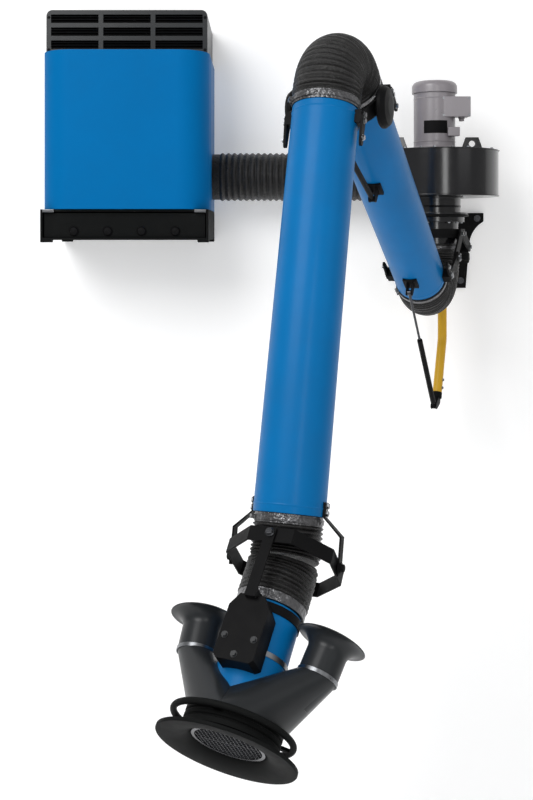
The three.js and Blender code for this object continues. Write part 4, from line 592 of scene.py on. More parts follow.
def guard_tree():
    """Geometry nodes of a round woven wire guard."""
    tree, nodes, given, result = group_tree(
        "Wire Guard", "GeometryNodeTree",
        [("Seed", "NodeSocketGeometry", None), ("Radius", "NodeSocketFloat", 90.0), ("Pitch", "NodeSocketFloat", 11.0),
         ("Wire Radius", "NodeSocketFloat", 1.0), ("Finish", "NodeSocketMaterial", None)],
        [("Geometry", "NodeSocketGeometry")])
    width = nodes.math("MULTIPLY", given["Radius"], 2.0)
    count = nodes.math("ADD", nodes.math("DIVIDE", width, given["Pitch"]), 1.0)
    grid = nodes.add("GeometryNodeMeshGrid", {"Size X": width, "Size Y": width, "Vertices X": count,
                                               "Vertices Y": count}).outputs[0]
    place = nodes.add("GeometryNodeInputPosition").outputs[0]
    reach = nodes.add("ShaderNodeVectorMath", {0: place}, operation="LENGTH").outputs["Value"]
    outside = nodes.math("GREATER_THAN", reach, given["Radius"])
    kept = nodes.add("GeometryNodeDeleteGeometry", {"Geometry": grid, "Selection": outside}, domain="POINT").outputs[0]
    lines = nodes.add("GeometryNodeMeshToCurve", {0: kept}).outputs[0]
    wire = nodes.add("GeometryNodeCurvePrimitiveCircle", {"Resolution": 5, "Radius": given["Wire Radius"]}).outputs[0]
    skin = nodes.add("GeometryNodeCurveToMesh", {"Curve": lines, "Profile Curve": wire, "Fill Caps": True}).outputs[0]
    plated = nodes.add("GeometryNodeSetMaterial", {"Geometry": skin, "Material": given["Finish"]}).outputs[0]
    tree.links.new(plated, result["Geometry"])
    return tree


def slat_tree():
    """Geometry nodes that set a tilted slat at each point."""
    tree, nodes, given, result = group_tree(
        "Louvre Slats", "GeometryNodeTree",
        [("Points", "NodeSocketGeometry", None), ("Width", "NodeSocketFloat", 200.0), ("Depth", "NodeSocketFloat", 14.0),
         ("Height", "NodeSocketFloat", 2.5), ("Tilt", "NodeSocketFloat", 0.5), ("Finish", "NodeSocketMaterial", None)],
        [("Geometry", "NodeSocketGeometry")])
    extent = nodes.add("ShaderNodeCombineXYZ", {"X": given["Width"], "Y": given["Depth"], "Z": given["Height"]}).outputs[0]
    slat = nodes.add("GeometryNodeMeshCube", {"Size": extent}).outputs[0]
    lean = nodes.add("ShaderNodeCombineXYZ", {"X": given["Tilt"]}).outputs[0]
    tilted = nodes.add("GeometryNodeTransform", {"Geometry": slat, "Rotation": lean}).outputs[0]
    points = nodes.add("GeometryNodeMeshToPoints", {0: given["Points"]}).outputs[0]
    placed = nodes.add("GeometryNodeInstanceOnPoints", {"Points": points, "Instance": tilted}).outputs[0]
    real = nodes.add("GeometryNodeRealizeInstances", {0: placed}).outputs[0]
    coated_slats = nodes.add("GeometryNodeSetMaterial", {"Geometry": real, "Material": given["Finish"]}).outputs[0]
    tree.links.new(coated_slats, result["Geometry"])
    return tree


def grown(name, seed, tree, values, place, body, nodes=(), smooth=40):
    """Runs a node tree on a seed mesh and keeps the result as a plain mesh in its place."""
    maker = bpy.data.objects.new(name, seed)
    bpy.context.scene.collection.objects.link(maker)
    modifier = maker.modifiers.new("Grown", "NODES")
    modifier.node_group = tree
    named = {item.name: item.identifier for item in tree.interface.items_tree if item.in_out == "INPUT"}
    for label, value in values.items():
        modifier[named[label]] = value
    ready = maker.evaluated_get(bpy.context.evaluated_depsgraph_get())
    mesh = bpy.data.meshes.new_from_object(ready)
    maker.modifiers.clear()
    bpy.data.objects.remove(maker)
    mesh.name = name
    mesh.transform(place)
    return shown(name, mesh, values["Finish"], body, nodes, smooth)


TREES = {}


def bolts(name, body, placed, radius=None, height=None, finish="steel"):
    """Hexagon heads on one body. Each is given as its place, a point and the way that it faces."""
    seed = bpy.data.meshes.new(name)
    spots = [(place @ Vector(point)) * 1000 for place, point, _ in placed]
    seed.from_pydata([tuple(spot) for spot in spots], [], [])
    facing = seed.attributes.new("facing", "FLOAT_VECTOR", "POINT")
    for item, (place, _, way) in zip(facing.data, placed):
        item.vector = (place.to_3x3() @ Vector(way)).normalized()
    head = radius or millimetres(sizes().bolt_radius)
    values = {"Head Radius": head, "Head Height": height or head * 0.8, "Finish": FINISH[finish]}
    return grown(name, seed, TREES["bolts"], values, MILLIMETRES, body, smooth=30)


def path_mesh(name, points):
    """Open line of points as a mesh of edges."""
    seed = bpy.data.meshes.new(name)
    seed.from_pydata([tuple(point) for point in points], [(i, i + 1) for i in range(len(points) - 1)], [])
    return seed


def prepare_trees():
    """Builds the node trees for what repeats or follows a path."""
    TREES["hose"] = hose_tree()
    TREES["bolts"] = bolt_tree()
    TREES["guard"] = guard_tree()
    TREES["slats"] = slat_tree()


def scroll_outline(margin):
    """Spiral of the fan housing with its straight outlet, seen from above."""
    start = math.pi - math.asin(116 / 200)
    outline = [(-180, 116 - margin)]
    for step in range(121):
        turn = start + (2.5 * math.pi - start) * step / 120
        radius = 200 + (307 - 200) * step / 120 + margin
        outline.append((radius * math.cos(turn), radius * math.sin(turn)))
    return outline + [(-180, 307 + margin)]


class FUMEARM_OT_wall_bracket(bpy.types.Operator):
    """Builds the wall plate, the bracket, the swivel bearing and the anchors"""

    bl_idname = "fume_arm.wall_bracket"
    bl_label = "Wall Bracket"

    def execute(self, context):
        edge = sizes().edge
        eased("wall_plate", FINISH["black"], "frame", edge)
        eased("bracket_frame", FINISH["black"], "frame", edge)
        ring = rounded([(104.6, 128), (128, 128), (128, 150), (104.6, 150)], 2)
        Shape().lathe(FAN_AXIS, ring).made("swivel_bearing_shown", FINISH["gloss"], "frame", "black_paint",
                                           ("swivel_bearing",))
        anchors = [(WALL, (40 + side * x, -10, z), (0, -1, 0)) for side in (-1, 1)
                   for x, z in ((215, 150), (150, 20), (138, -140))]
        bolts("wall_anchors", "frame", anchors, 12, finish="rod")
        flange = [(FAN_AXIS, (117 * math.cos(t), 117 * math.sin(t), 128), (0, 0, -1))
                  for t in (math.pi * (i + 0.5) / 4 for i in range(8))]
        bolts("bearing_bolts", "frame", flange, 6)
        return {"FINISHED"}


class FUMEARM_OT_fan(bpy.types.Operator):
    """Builds the fan housing, its lifting lugs, the motor and the parts inside"""

    bl_idname = "fume_arm.fan"
    bl_label = "Fan and Motor"

    def execute(self, context):
        gloss, grey = FINISH["gloss"], FINISH["grey"]
        spigot = rounded([(98, 160), (142, 160), (142, 168), (112, 168), (112, 190), (114.5, 194), (112, 198),
                          (112, 229), (123, 229), (123, 237), (98, 237)], 1.5)
        Shape().lathe(FAN_AXIS, spigot).made("inlet_spigot_shown", gloss, "frame", "fan_gloss_black",
                                             ("inlet_spigot",))
        housing = Shape().slab(FAN_AXIS, scroll_outline(0) + scroll_outline(-4)[::-1], 242, 431)
        rim = scroll_outline(4)
        turns = [math.atan2(y, x) for x, y in rim[1:2] + rim[1:]]
        eye = [(98 * math.cos(turn), 98 * math.sin(turn)) for turn in turns]
        floor = [[(x, y, z) for x, y in ring] for ring, z in ((rim, 237), (rim, 242), (eye, 242), (eye, 237))]
        housing.skin(FAN_AXIS, floor, True)
        housing.made("fan_scroll_shown", gloss, "frame", "fan_gloss_black", ("fan_scroll",), 0.0012)
        eased("fan_lid", gloss, "frame", 0.0012)
        rims = [(FAN_AXIS, (0.985 * x, 0.985 * y, 435), (0, 0, 1)) for x, y in scroll_outline(0)[8:118:13]]
        bolts("fan_lid_bolts", "frame", rims, 6)
        self.outlet(gloss)
        self.motor(grey)
        dressed("impeller", FINISH["steel"])
        dressed("motor_shaft", FINISH["steel"])
        return {"FINISHED"}

    @staticmethod
    def outlet(finish):
        """Square-to-round outlet of the fan."""
        centre, count = (-168.5, 334), 64
        turns = [2 * math.pi * (i + 0.5) / count for i in range(count)]
        square = [(math.cos(t) / max(abs(math.cos(t)), abs(math.sin(t))),
                   math.sin(t) / max(abs(math.cos(t)), abs(math.sin(t)))) for t in turns]
        rings = [[(-180, centre[0] + 95.5 * y, centre[1] + 97 * z) for y, z in square]]
        for x, radius in ((-258, 101.5), (-260, 101.5), (-260, 95), (-305, 95), (-305, 92), (-260, 92)):
            rings.append([(x, centre[0] + radius * math.cos(t), centre[1] + radius * math.sin(t)) for t in turns])
        rings.append([(-180, centre[0] + 92 * y, centre[1] + 93 * z) for y, z in square])
        shape = Shape()
        shape.skin(WALL, rings, True)
        shape.made("outlet_transition_shown", finish, "frame", "fan_gloss_black", ("outlet_transition",))

    @staticmethod
    def motor(finish):
        """Motor, its fan cowl and its boxes."""
        body = rounded([(0, 435), (100, 435), (100, 447), (91, 450), (89, 456), (89, 470), (90.5, 473), (89, 476),
                        (89, 655), (90.5, 658), (89, 661), (89, 682), (0, 682)], 1.5)
        Shape().lathe(FAN_AXIS, body).made("motor_body_shown", finish, "frame", "motor_grey", ("motor_body",))
        dome = [(0, 682), (95.5, 682), (97, 684), (97, 708)]
        dome += [(71 + 26 * math.cos(math.radians(a)), 708 + 26 * math.sin(math.radians(a)))
                 for a in range(10, 91, 10)]
        Shape().lathe(FAN_AXIS, dome + [(0, 734)]).made("motor_cap_shown", finish, "frame", "motor_grey",
                                                        ("motor_cap",))
        case = Shape().block(FAN_AXIS, (20, -79, 578), (140, -5, 660))
        case.block(FAN_AXIS, (18, -85, 576), (142, -77, 662))
        case.block(FAN_AXIS, (44, -96, 493), (94, -62, 531))
        case.lathe(FAN_AXIS @ moved(110, -42, 560), rounded([(0, 0), (11, 0), (11, 9), (14, 10), (14, 20), (0, 20)], 1))
        case.made("terminal_box_shown", finish, "frame", "motor_grey", ("terminal_box",), 0.002)
        screws = [(FAN_AXIS, (x, -85, z), (0, -1, 0)) for x in (25, 135) for z in (583, 655)]
        bolts("terminal_box_screws", "frame", screws, 4.5)
        feet = [(FAN_AXIS, (95 * math.cos(t), 95 * math.sin(t), 447), (0, 0, 1))
                for t in (math.pi * (i + 0.5) / 2 for i in range(4))]
        bolts("motor_foot_bolts", "frame", feet, 6)
        plate = Shape()
        turns = [math.radians(-128 + 66 * i / 16) for i in range(17)]
        rings = [[(radius * math.cos(t), radius * math.sin(t), z) for radius, z in
                  ((89.2, 506), (90.4, 506), (90.4, 560), (89.2, 560))] for t in turns]
        plate.skin(FAN_AXIS, rings, False)
        plate.made("motor_blank_plate", FINISH["black"], "frame", "black_paint")


class FUMEARM_OT_cabinet(bpy.types.Operator):
    """Builds the filter cabinet with its cover, grille and drawer"""

    bl_idname = "fume_arm.cabinet"
    bl_label = "Filter Cabinet"

    def execute(self, context):
        black = FINISH["black"]
        eased("cabinet_body", FINISH["blue"], "frame", 0.003)
        eased("front_cover", FINISH["cover"], "cover", 0.004)
        eased("top_grille", FINISH["horn"], "frame", 0.0025, False)
        eased("base_housing", FINISH["plastic"], "frame", 0.003)
        eased("dust_drawer", FINISH["plastic"], "drawer", 0.002)
        dressed("filter_cartridge", FINISH["paper"])
        self.slats()
        pulls = Shape()
        for column in range(4):
            place = WALL @ moved(-1535.5 + 142 * column, -526, 88) @ turned("X", 90)
            pulls.lathe(place, rounded([(0, 0), (20, 0), (20, 4), (15, 10), (0, 12)], 2), SMALL_ROUND)
        pulls.made("drawer_pulls", black, "drawer", "black_plastic")
        latches = Shape()
        for side in (-1, 1):
            latches.block(WALL @ moved(-1322.5 + side * 318, -540, 173), (-24, -6, -6), (24, 0, 6))
            latches.block(WALL @ moved(-1322.5 + side * 318, -546, 173), (-7, -4, -5), (7, 0, 5))
        latches.made("cover_latches", FINISH["steel"], "frame", "bright_steel", (), 0.0015)
        grille = [(WALL, (-1322.5 + side * x, -450, z), (0, -1, 0)) for side in (-1, 1) for x in (333,)
                  for z in (862, 1000)]
        bolts("grille_screws", "frame", grille, 5, finish="black")
        return {"FINISHED"}

    @staticmethod
    def slats():
        """Louvre slats behind each slot of the grille."""
        wide, pitch, low, gap = 202.33, 222.33, 866.25, 55.25
        centres = []
        for column in range(3):
            for row in range(3):
                x = -1666 + 20 + wide / 2 + column * pitch
                centres += [(x, -440, low + row * gap + 36 * (step + 0.5) / 3) for step in range(3)]
        seed = bpy.data.meshes.new("grille_slats")
        seed.from_pydata(centres, [], [])
        values = {"Width": wide + 8, "Depth": 14.0, "Height": 2.5, "Tilt": math.radians(28), "Finish": FINISH["black"]}
        grown("grille_slats", seed, TREES["slats"], values, WALL, "frame", smooth=30)


def arm_tube(low, high, low_spigot, high_spigot):
    """Outline of an arm tube with narrower spigots and a rolled bead near each rim."""
    radius, bead = millimetres(sizes().tube_radius), millimetres(sizes().rim_bead)
    bore = radius - 2
    outline = [(low_spigot, low - 45), (low_spigot, low), (radius - 1, low), (radius, low + 2)]
    for height in (low + 22, high - 22):
        outline += [(radius, height - 4), (radius + bead, height), (radius, height + 4)]
    outline += [(radius, high - 2), (radius - 1, high), (high_spigot, high), (high_spigot, high + 45),
                (high_spigot - 2, high + 45), (high_spigot - 2, high - 2), (bore, high - 14), (bore, low + 14),
                (low_spigot - 2, low + 2), (low_spigot - 2, low - 45)]
    return outline


def band(shape, place, radius, low, high, thickness=2.0):
    """Band clamp with its screw housing, round the local Z axis."""
    shape.lathe(place, rounded([(radius, low), (radius + thickness, low), (radius + thickness, high), (radius, high)], 0.8))
    middle = (low + high) / 2
    shape.block(place @ turned("Z", -150) @ moved(radius + thickness, 0, middle), (-1, -14, -6), (9, 14, 6))
    return shape


def pivot_head(shape, place, radius, start, length):
    """Round pivot head with a raised boss, along the local Z axis."""
    shape.lathe(place, rounded([(0, start), (radius, start), (radius, start + length * 0.6),
                                (radius * 0.6, start + length * 0.7), (radius * 0.6, start + length),
                                (0, start + length)], 1), 48)
    return shape


class FUMEARM_OT_shoulder(bpy.types.Operator):
    """Builds the swivelling base, the shoulder pivots and the balance lever"""

    bl_idname = "fume_arm.shoulder"
    bl_label = "Shoulder"

    def execute(self, context):
        black, steel = FINISH["black"], FINISH["steel"]
        duct = rounded([(95, -10), (95, 35), (101.5, 35), (101.5, 138), (115, 138), (115, 145), (101.5, 145),
                        (101.5, 149.5), (99.5, 149.5), (99.5, 49), (93, 37), (93, -10)], 1)
        Shape().lathe(SWIVEL, duct).made("swivel_duct_shown", FINISH["gloss"], "swivel", "black_paint", ("swivel_duct",))
        eased("shoulder_fork", black, "swivel", sizes().edge)
        eased("lever_clevis", black, "swivel", 0.001)
        clamp = band(Shape(), SWIVEL, 103.6, 12, 26)
        clamp.made("base_hose_band", FINISH["foil"], "swivel", "bright_steel")
        for name, side in SIDES.items():
            place = SWIVEL @ moved(0, -140, -21) @ turned("Y", side * 90)
            pin = Shape().lathe(place, [(0, 116), (10, 116), (10, 136), (0, 136)], SMALL_ROUND)
            pivot_head(pin, place, 17, 134.5, 12)
            pin.made(f"shoulder_pin_{name}_shown", steel, "swivel", "bright_steel", (f"shoulder_pin_{name}",))
        self.knob()
        self.lever()
        rear = [(SWIVEL, (side * 124, y, z), (side, 0, 0)) for side in (-1, 1) for y, z in ((24, 79), (-24, 79), (160, 19))]
        bolts("fork_bolts", "swivel", rear, 9)
        return {"FINISHED"}

    @staticmethod
    def knob():
        """Five-lobed hand knob on the right shoulder pivot."""
        place = SWIVEL @ moved(146.8, -140, -21) @ turned("Y", 90)
        rings = []
        for height, scale in ((0, 0.46), (10, 0.46), (12, 0.9), (15, 1.0), (25, 1.0), (29, 0.86), (30, 0.6)):
            ring = []
            for i in range(90):
                turn = 2 * math.pi * i / 90
                lobe = 21.5 + 2.5 * math.cos(5 * turn) if height > 10 else 23
                ring.append((scale * lobe * math.cos(turn), scale * lobe * math.sin(turn), height))
            rings.append(ring)
        knob = Shape().skin(place, rings, False)
        knob.made("shoulder_knob_shown", FINISH["plastic"], "knob", "black_plastic", ("shoulder_knob",))

    @staticmethod
    def lever():
        """Bent yellow lever tube with its black end plug."""
        lean = math.atan2(160 - 45, 640 - 391)
        tangent = 80 * math.tan(lean / 2)
        path = [(0, 160, -1.3), (0, 160, -391 + tangent)]
        for step in range(1, 13):
            turn = lean * step / 12
            path.append((0, 160 - 80 * (1 - math.cos(turn)), -391 + tangent - 80 * math.sin(turn)))
        path.append((0, 45, -640))
        lever = Shape().pipe(SWIVEL, path, 20, 48)
        lever.made("lever_tube_shown", FINISH["yellow"], "swivel", "yellow_paint", ("lever_tube",))
        along = (Vector(path[-1]) - Vector(path[-2])).normalized()
        end = Vector(path[-1])
        plug = Shape().pipe(SWIVEL, [end - 26 * along, end - 25.5 * along, end - 1 * along, end + 1 * along],
                            [20.4, 21.4, 21.4, 19.5], 48)
        plug.made("lever_end_plug", FINISH["plastic"], "swivel", "black_plastic")
        spots = [(SWIVEL, tuple(end - s * along + Vector((20, 0, 0))), (1, 0, 0)) for s in (48, 84)]
        bolts("lever_bolts", "swivel", spots, 6)


def spring(place, radius, cylinder, piston, length, names, bodies):
    """Gas spring with an eye at each end, along the local Z axis."""
    end, bore = 24 + cylinder, radius - 2.5
    tube = rounded([(0, 6), (6.5, 6), (6.5, 24), (radius - 2, 24), (radius, 27), (radius, end - 3), (radius - 1.5, end),
                    (5.6, end), (5.6, end - 8), (bore, end - 8), (bore, 34), (0, 34)], 0.8)
    eye = rounded([(5.6, -7), (11, -7), (11, 7), (5.6, 7)], 1)
    case = Shape().lathe(place, tube, 48).lathe(place @ turned("Y", 90), eye, 40)
    case.made(f"{names[0]}_shown", FINISH["black"], bodies[0], "black_paint", (names[0],))
    rod = Shape().lathe(place, [(0, piston), (bore - 0.4, piston), (bore - 0.4, piston + 12), (5, piston + 12),
                                (5, length - 24), (6.5, length - 23), (6.5, length - 6), (0, length - 6)], SMALL_ROUND)
    rod.lathe(place @ moved(0, 0, length) @ turned("Y", 90), eye, 40)
    rod.made(f"{names[1]}_shown", FINISH["rod"], bodies[1], "bright_steel", (names[1],))


class FUMEARM_OT_arm(bpy.types.Operator):
    """Builds both arm tubes, their yokes, pads and gas springs"""

    bl_idname = "fume_arm.arm"
    bl_label = "Arm Tubes and Springs"

    def execute(self, context):
        blue, black, steel, edge = FINISH["blue"], FINISH["black"], FINISH["steel"], sizes().edge
        Shape().lathe(INNER_AXIS, arm_tube(56, 1256, 95, 95), 128).made(
            "inner_tube_shown", blue, "inner_arm", "blue_paint", ("inner_tube",))
        Shape().lathe(OUTER_AXIS, arm_tube(-1256, -56, 86, 95), 128).made(
            "outer_tube_shown", blue, "outer_arm", "blue_paint", ("outer_tube",))
        for node in ("inner_lower_yoke", "inner_upper_yoke", "lift_pad", "elbow_pad"):
            eased(node, black, "inner_arm", edge * 0.7)
        for node in ("outer_yoke", "side_strap_left", "side_strap_right"):
            eased(node, black, "outer_arm", edge * 0.7)
        spring(LIFT_SPRING, 11, 388, 200, 679.4, ("lift_spring_cylinder", "lift_spring_rod"), ("lift_cylinder", "lift_rod"))
        spring(ELBOW_SPRING, 9.5, 250, 122, 443.6, ("elbow_spring_cylinder", "elbow_spring_rod"),
               ("elbow_cylinder", "elbow_rod"))
        for name, side in SIDES.items():
            place = OUTER @ turned("Y", side * 90)
            pin = Shape().lathe(place, [(0, 116), (10, 116), (10, 136), (0, 136)], SMALL_ROUND)
            pivot_head(pin, place, 17, 134.5, 12)
            pin.made(f"elbow_pin_{name}_shown", steel, "outer_arm", "bright_steel", (f"elbow_pin_{name}",))
            disc = Shape().lathe(place, rounded([(0, 169), (30, 168), (58, 163), (68, 150), (68, 140), (62, 135),
                                                 (17.5, 135), (17.5, 148), (0, 148)], 4, False), 72)
            disc.made(f"elbow_friction_disc_{name}", black, "outer_arm", "black_paint")
        self.clamps()
        self.fixings()
        return {"FINISHED"}

    @staticmethod
    def clamps():
        """Band clamps and metal-faced cuffs at the ends of the hoses."""
        foil = FINISH["foil"]
        band(Shape(), OUTER_AXIS, 104.9, -48, -34, 3).made("elbow_clamp_shown", foil, "outer_arm", "bright_steel",
                                                           ("elbow_clamp",))
        band(Shape(), OUTER_AXIS, 95.7, -1278, -1264, 3).made("hood_clamp_shown", foil, "outer_arm", "bright_steel",
                                                              ("hood_clamp",))
        cuffs = Shape()
        for low, high, radius in ((-56, -27, 103.3), (-1283, -1257, 94.3)):
            cuffs.lathe(OUTER_AXIS, rounded([(radius, low), (radius + 1.2, low), (radius + 1.2, high), (radius, high)], 0.5))
        cuffs.made("hose_cuffs", foil, "outer_arm", "bright_steel")
        band(Shape(), INNER_AXIS, 103.6, 34, 48).made("inner_low_band", foil, "inner_arm", "bright_steel")
        band(Shape(), INNER_AXIS, 103.6, 1264, 1278).made("inner_high_band", foil, "inner_arm", "bright_steel")
        sleeve = rounded([(101.8, 1188), (103.6, 1188), (105, 1194), (105, 1257), (101.8, 1257)], 0.8)
        Shape().lathe(INNER_AXIS, sleeve).made("elbow_sleeve", FINISH["black"], "inner_arm", "black_paint")

    @staticmethod
    def fixings():
        """Bolt heads on the yokes and pads."""
        inner = [(INNER_AXIS, (side * 134, y, z), (side, 0, 0)) for side in (-1, 1)
                 for y, z in ((0, 78), (0, 96), (0, 1216), (0, 1234), (0, 150), (0, 1160))]
        pads = [(INNER, (x, y + step, -242), (0, 0, -1)) for y in (-190, -836) for x in (-20, 20) for step in (-22, 22)]
        bolts("inner_yoke_bolts", "inner_arm", inner, 8)
        bolts("spring_pad_bolts", "inner_arm", pads, 6)
        outer = [(OUTER_AXIS, (side * 124, y, z), (side, 0, 0)) for side in (-1, 1)
                 for y, z in ((0, -78), (0, -96), (0, -150))]
        outer += [(OUTER_AXIS, (side * 106.8, 0, z), (side, 0, 0)) for side in (-1, 1) for z in (-1226, -1246)]
        bolts("outer_yoke_bolts", "outer_arm", outer, 8)


def bend(start, heading, lead, radius, sweep, tail):
    """Points of a path in the local YZ plane: a straight lead, a bend and a straight tail, in degrees."""
    way = math.radians(heading)
    y, z = start[0] + lead * math.cos(way), start[1] + lead * math.sin(way)
    points = [(0, *start), (0, y, z)]
    side = math.copysign(1, sweep)
    centre = (y - side * radius * math.sin(way), z + side * radius * math.cos(way))
    for step in range(1, 33):
        turn = way + math.radians(sweep) * step / 32
        y, z = centre[0] + side * radius * math.sin(turn), centre[1] - side * radius * math.cos(turn)
        points.append((0, y, z))
    if tail:
        turn = way + math.radians(sweep)
        points.append((0, y + tail * math.cos(turn), z + tail * math.sin(turn)))
    return points


class FUMEARM_OT_hoses(bpy.types.Operator):
    """Builds the wire-ribbed hoses"""

    bl_idname = "fume_arm.hoses"
    bl_label = "Hoses"

    def execute(self, context):
        base = bend((0, 34.7), -90, 55.7, 140, -123.2, 55.7)
        self.hose("base_hose", SWIVEL, base, ("swivel", "inner_arm"), (30, 30))
        elbow = bend((-1256.3, -140), 180, 55.7, 130, 107.4, 55.7)
        self.hose("elbow_hose", INNER, elbow, ("inner_arm", "outer_arm"), (30, 30))
        radius = 60 / math.tan(math.radians(13.85))
        half = 13.85 - math.degrees(5.5 / radius)
        upper = bend((0, -1256.3), -90, 67.7, radius, -half, 0)
        self.hose("hood_hose_upper", OUTER_AXIS, upper, ("outer_arm", "gimbal"), (26, 0), 92.5, 6, 94)
        lower = bend((0, -148.7), 90, 88.7, radius, half, 0)
        self.hose("hood_hose_lower", HOOD, lower, ("gimbal", "hood"), (26, 0), 92.5, 6, 94, True)
        duct = [(-260.3 - 709.4 * i / 40, -168.5, 334) for i in range(41)]
        self.hose("duct_hose", WALL, duct, ("frame",), (30, 30), depth=7, pitch=millimetres(sizes().duct_pitch))
        return {"FINISHED"}

    @staticmethod
    def hose(node, place, path, bodies, cuffs, valley=101.5, depth=None, cuff=103, backward=False, pitch=None):
        """One hose along its path, riding its body when it is given only one."""
        values = {"Valley Radius": valley, "Rib Depth": depth or millimetres(sizes().rib_depth),
                  "Rib Pitch": pitch or millimetres(sizes().rib_pitch), "Cuff Radius": float(cuff),
                  "Cuff Start": float(cuffs[0]), "Cuff End": float(cuffs[1]), "Step": 2.0,
                  "Crease": millimetres(sizes().crease), "Sides": sizes().hose_sides, "Finish": FINISH["hose"]}
        body = bodies[0] if len(bodies) == 1 else None
        piece = grown(f"{node}_shown", path_mesh(node, path), TREES["hose"], values, place, body,
                      (node,), 75)
        if body is None:
            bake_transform(piece)


class FUMEARM_OT_hood_joint(bpy.types.Operator):
    """Builds the gimbal ring, the hanger and their friction pivots"""

    bl_idname = "fume_arm.hood_joint"
    bl_label = "Hood Joint"

    def execute(self, context):
        eased("gimbal_ring", FINISH["black"], "gimbal", 0.001)
        eased("hood_hanger", FINISH["black"], "hood", 0.0016)
        nuts = Shape()
        for axis, angle in (("Y", 90), ("Y", -90), ("X", -90)):
            place = GIMBAL @ turned(axis, angle)
            nuts.lathe(place, rounded([(0, 159.4), (15, 159.4), (15, 162), (11, 163), (11, 169), (7, 171), (0, 171)], 0.6), 40)
        nuts.made("gimbal_nuts", FINISH["black"], "gimbal", "black_paint")
        place = GIMBAL @ turned("X", 90)
        bright = Shape().lathe(place, rounded([(0, 159.4), (13, 159.4), (13, 163), (9, 165), (9, 171), (0, 171)], 0.8), 40)
        bright.made("gimbal_front_bolt", FINISH["rod"], "gimbal", "bright_steel")
        saddle = [(HOOD, (x, -140, z), (0, -1, 0)) for x, z in ((-40, -282), (40, -282), (0, -326))]
        bolts("saddle_bolts", "hood", saddle, 7, finish="horn")
        return {"FINISHED"}


def side_duct(name, side, finish):
    """Sheet duct under a horn: round at its mouth, widening to half of the plenum, and open at the top."""
    place = horn_place(side)
    foot = -98.3
    points = [place @ Vector((53 * math.cos(t), 53 * math.sin(t), foot))
              for t in (2 * math.pi * i / 64 for i in range(64))]
    for radius, height in ((100, -391), (127, -439.7)):
        points += [HOOD @ Vector((side * (0.3 + (radius - 0.3) * math.cos(t)), radius * math.sin(t), height))
                   for t in (math.pi * (i / 32 - 0.5) for i in range(33))]
    shell = bmesh.new()
    corners = [shell.verts.new(point) for point in points]
    hull = bmesh.ops.convex_hull(shell, input=corners)
    bmesh.ops.delete(shell, geom=list(set(hull["geom_interior"] + hull["geom_unused"])), context="VERTS")
    bmesh.ops.dissolve_limit(shell, angle_limit=math.radians(0.5), verts=list(shell.verts), edges=list(shell.edges))
    bmesh.ops.recalc_face_normals(shell, faces=list(shell.faces))
    up = (place @ Vector((0, 0, 1)) - place @ Vector((0, 0, 0))).normalized()
    mouth = [face for face in shell.faces if face.normal.dot(up) > 0.999]
    bmesh.ops.inset_region(shell, faces=mouth, thickness=0.003)
    down = HOOD @ Vector((side * 120, 10, -370)) - place @ Vector((0, 0, foot))
    bmesh.ops.translate(shell, verts=list({vert for face in mouth for vert in face.verts}), vec=down)
    finished(f"side_duct_{name}_shown", shell, finish, "hood", (f"side_duct_{name}",), 0.0, 32)


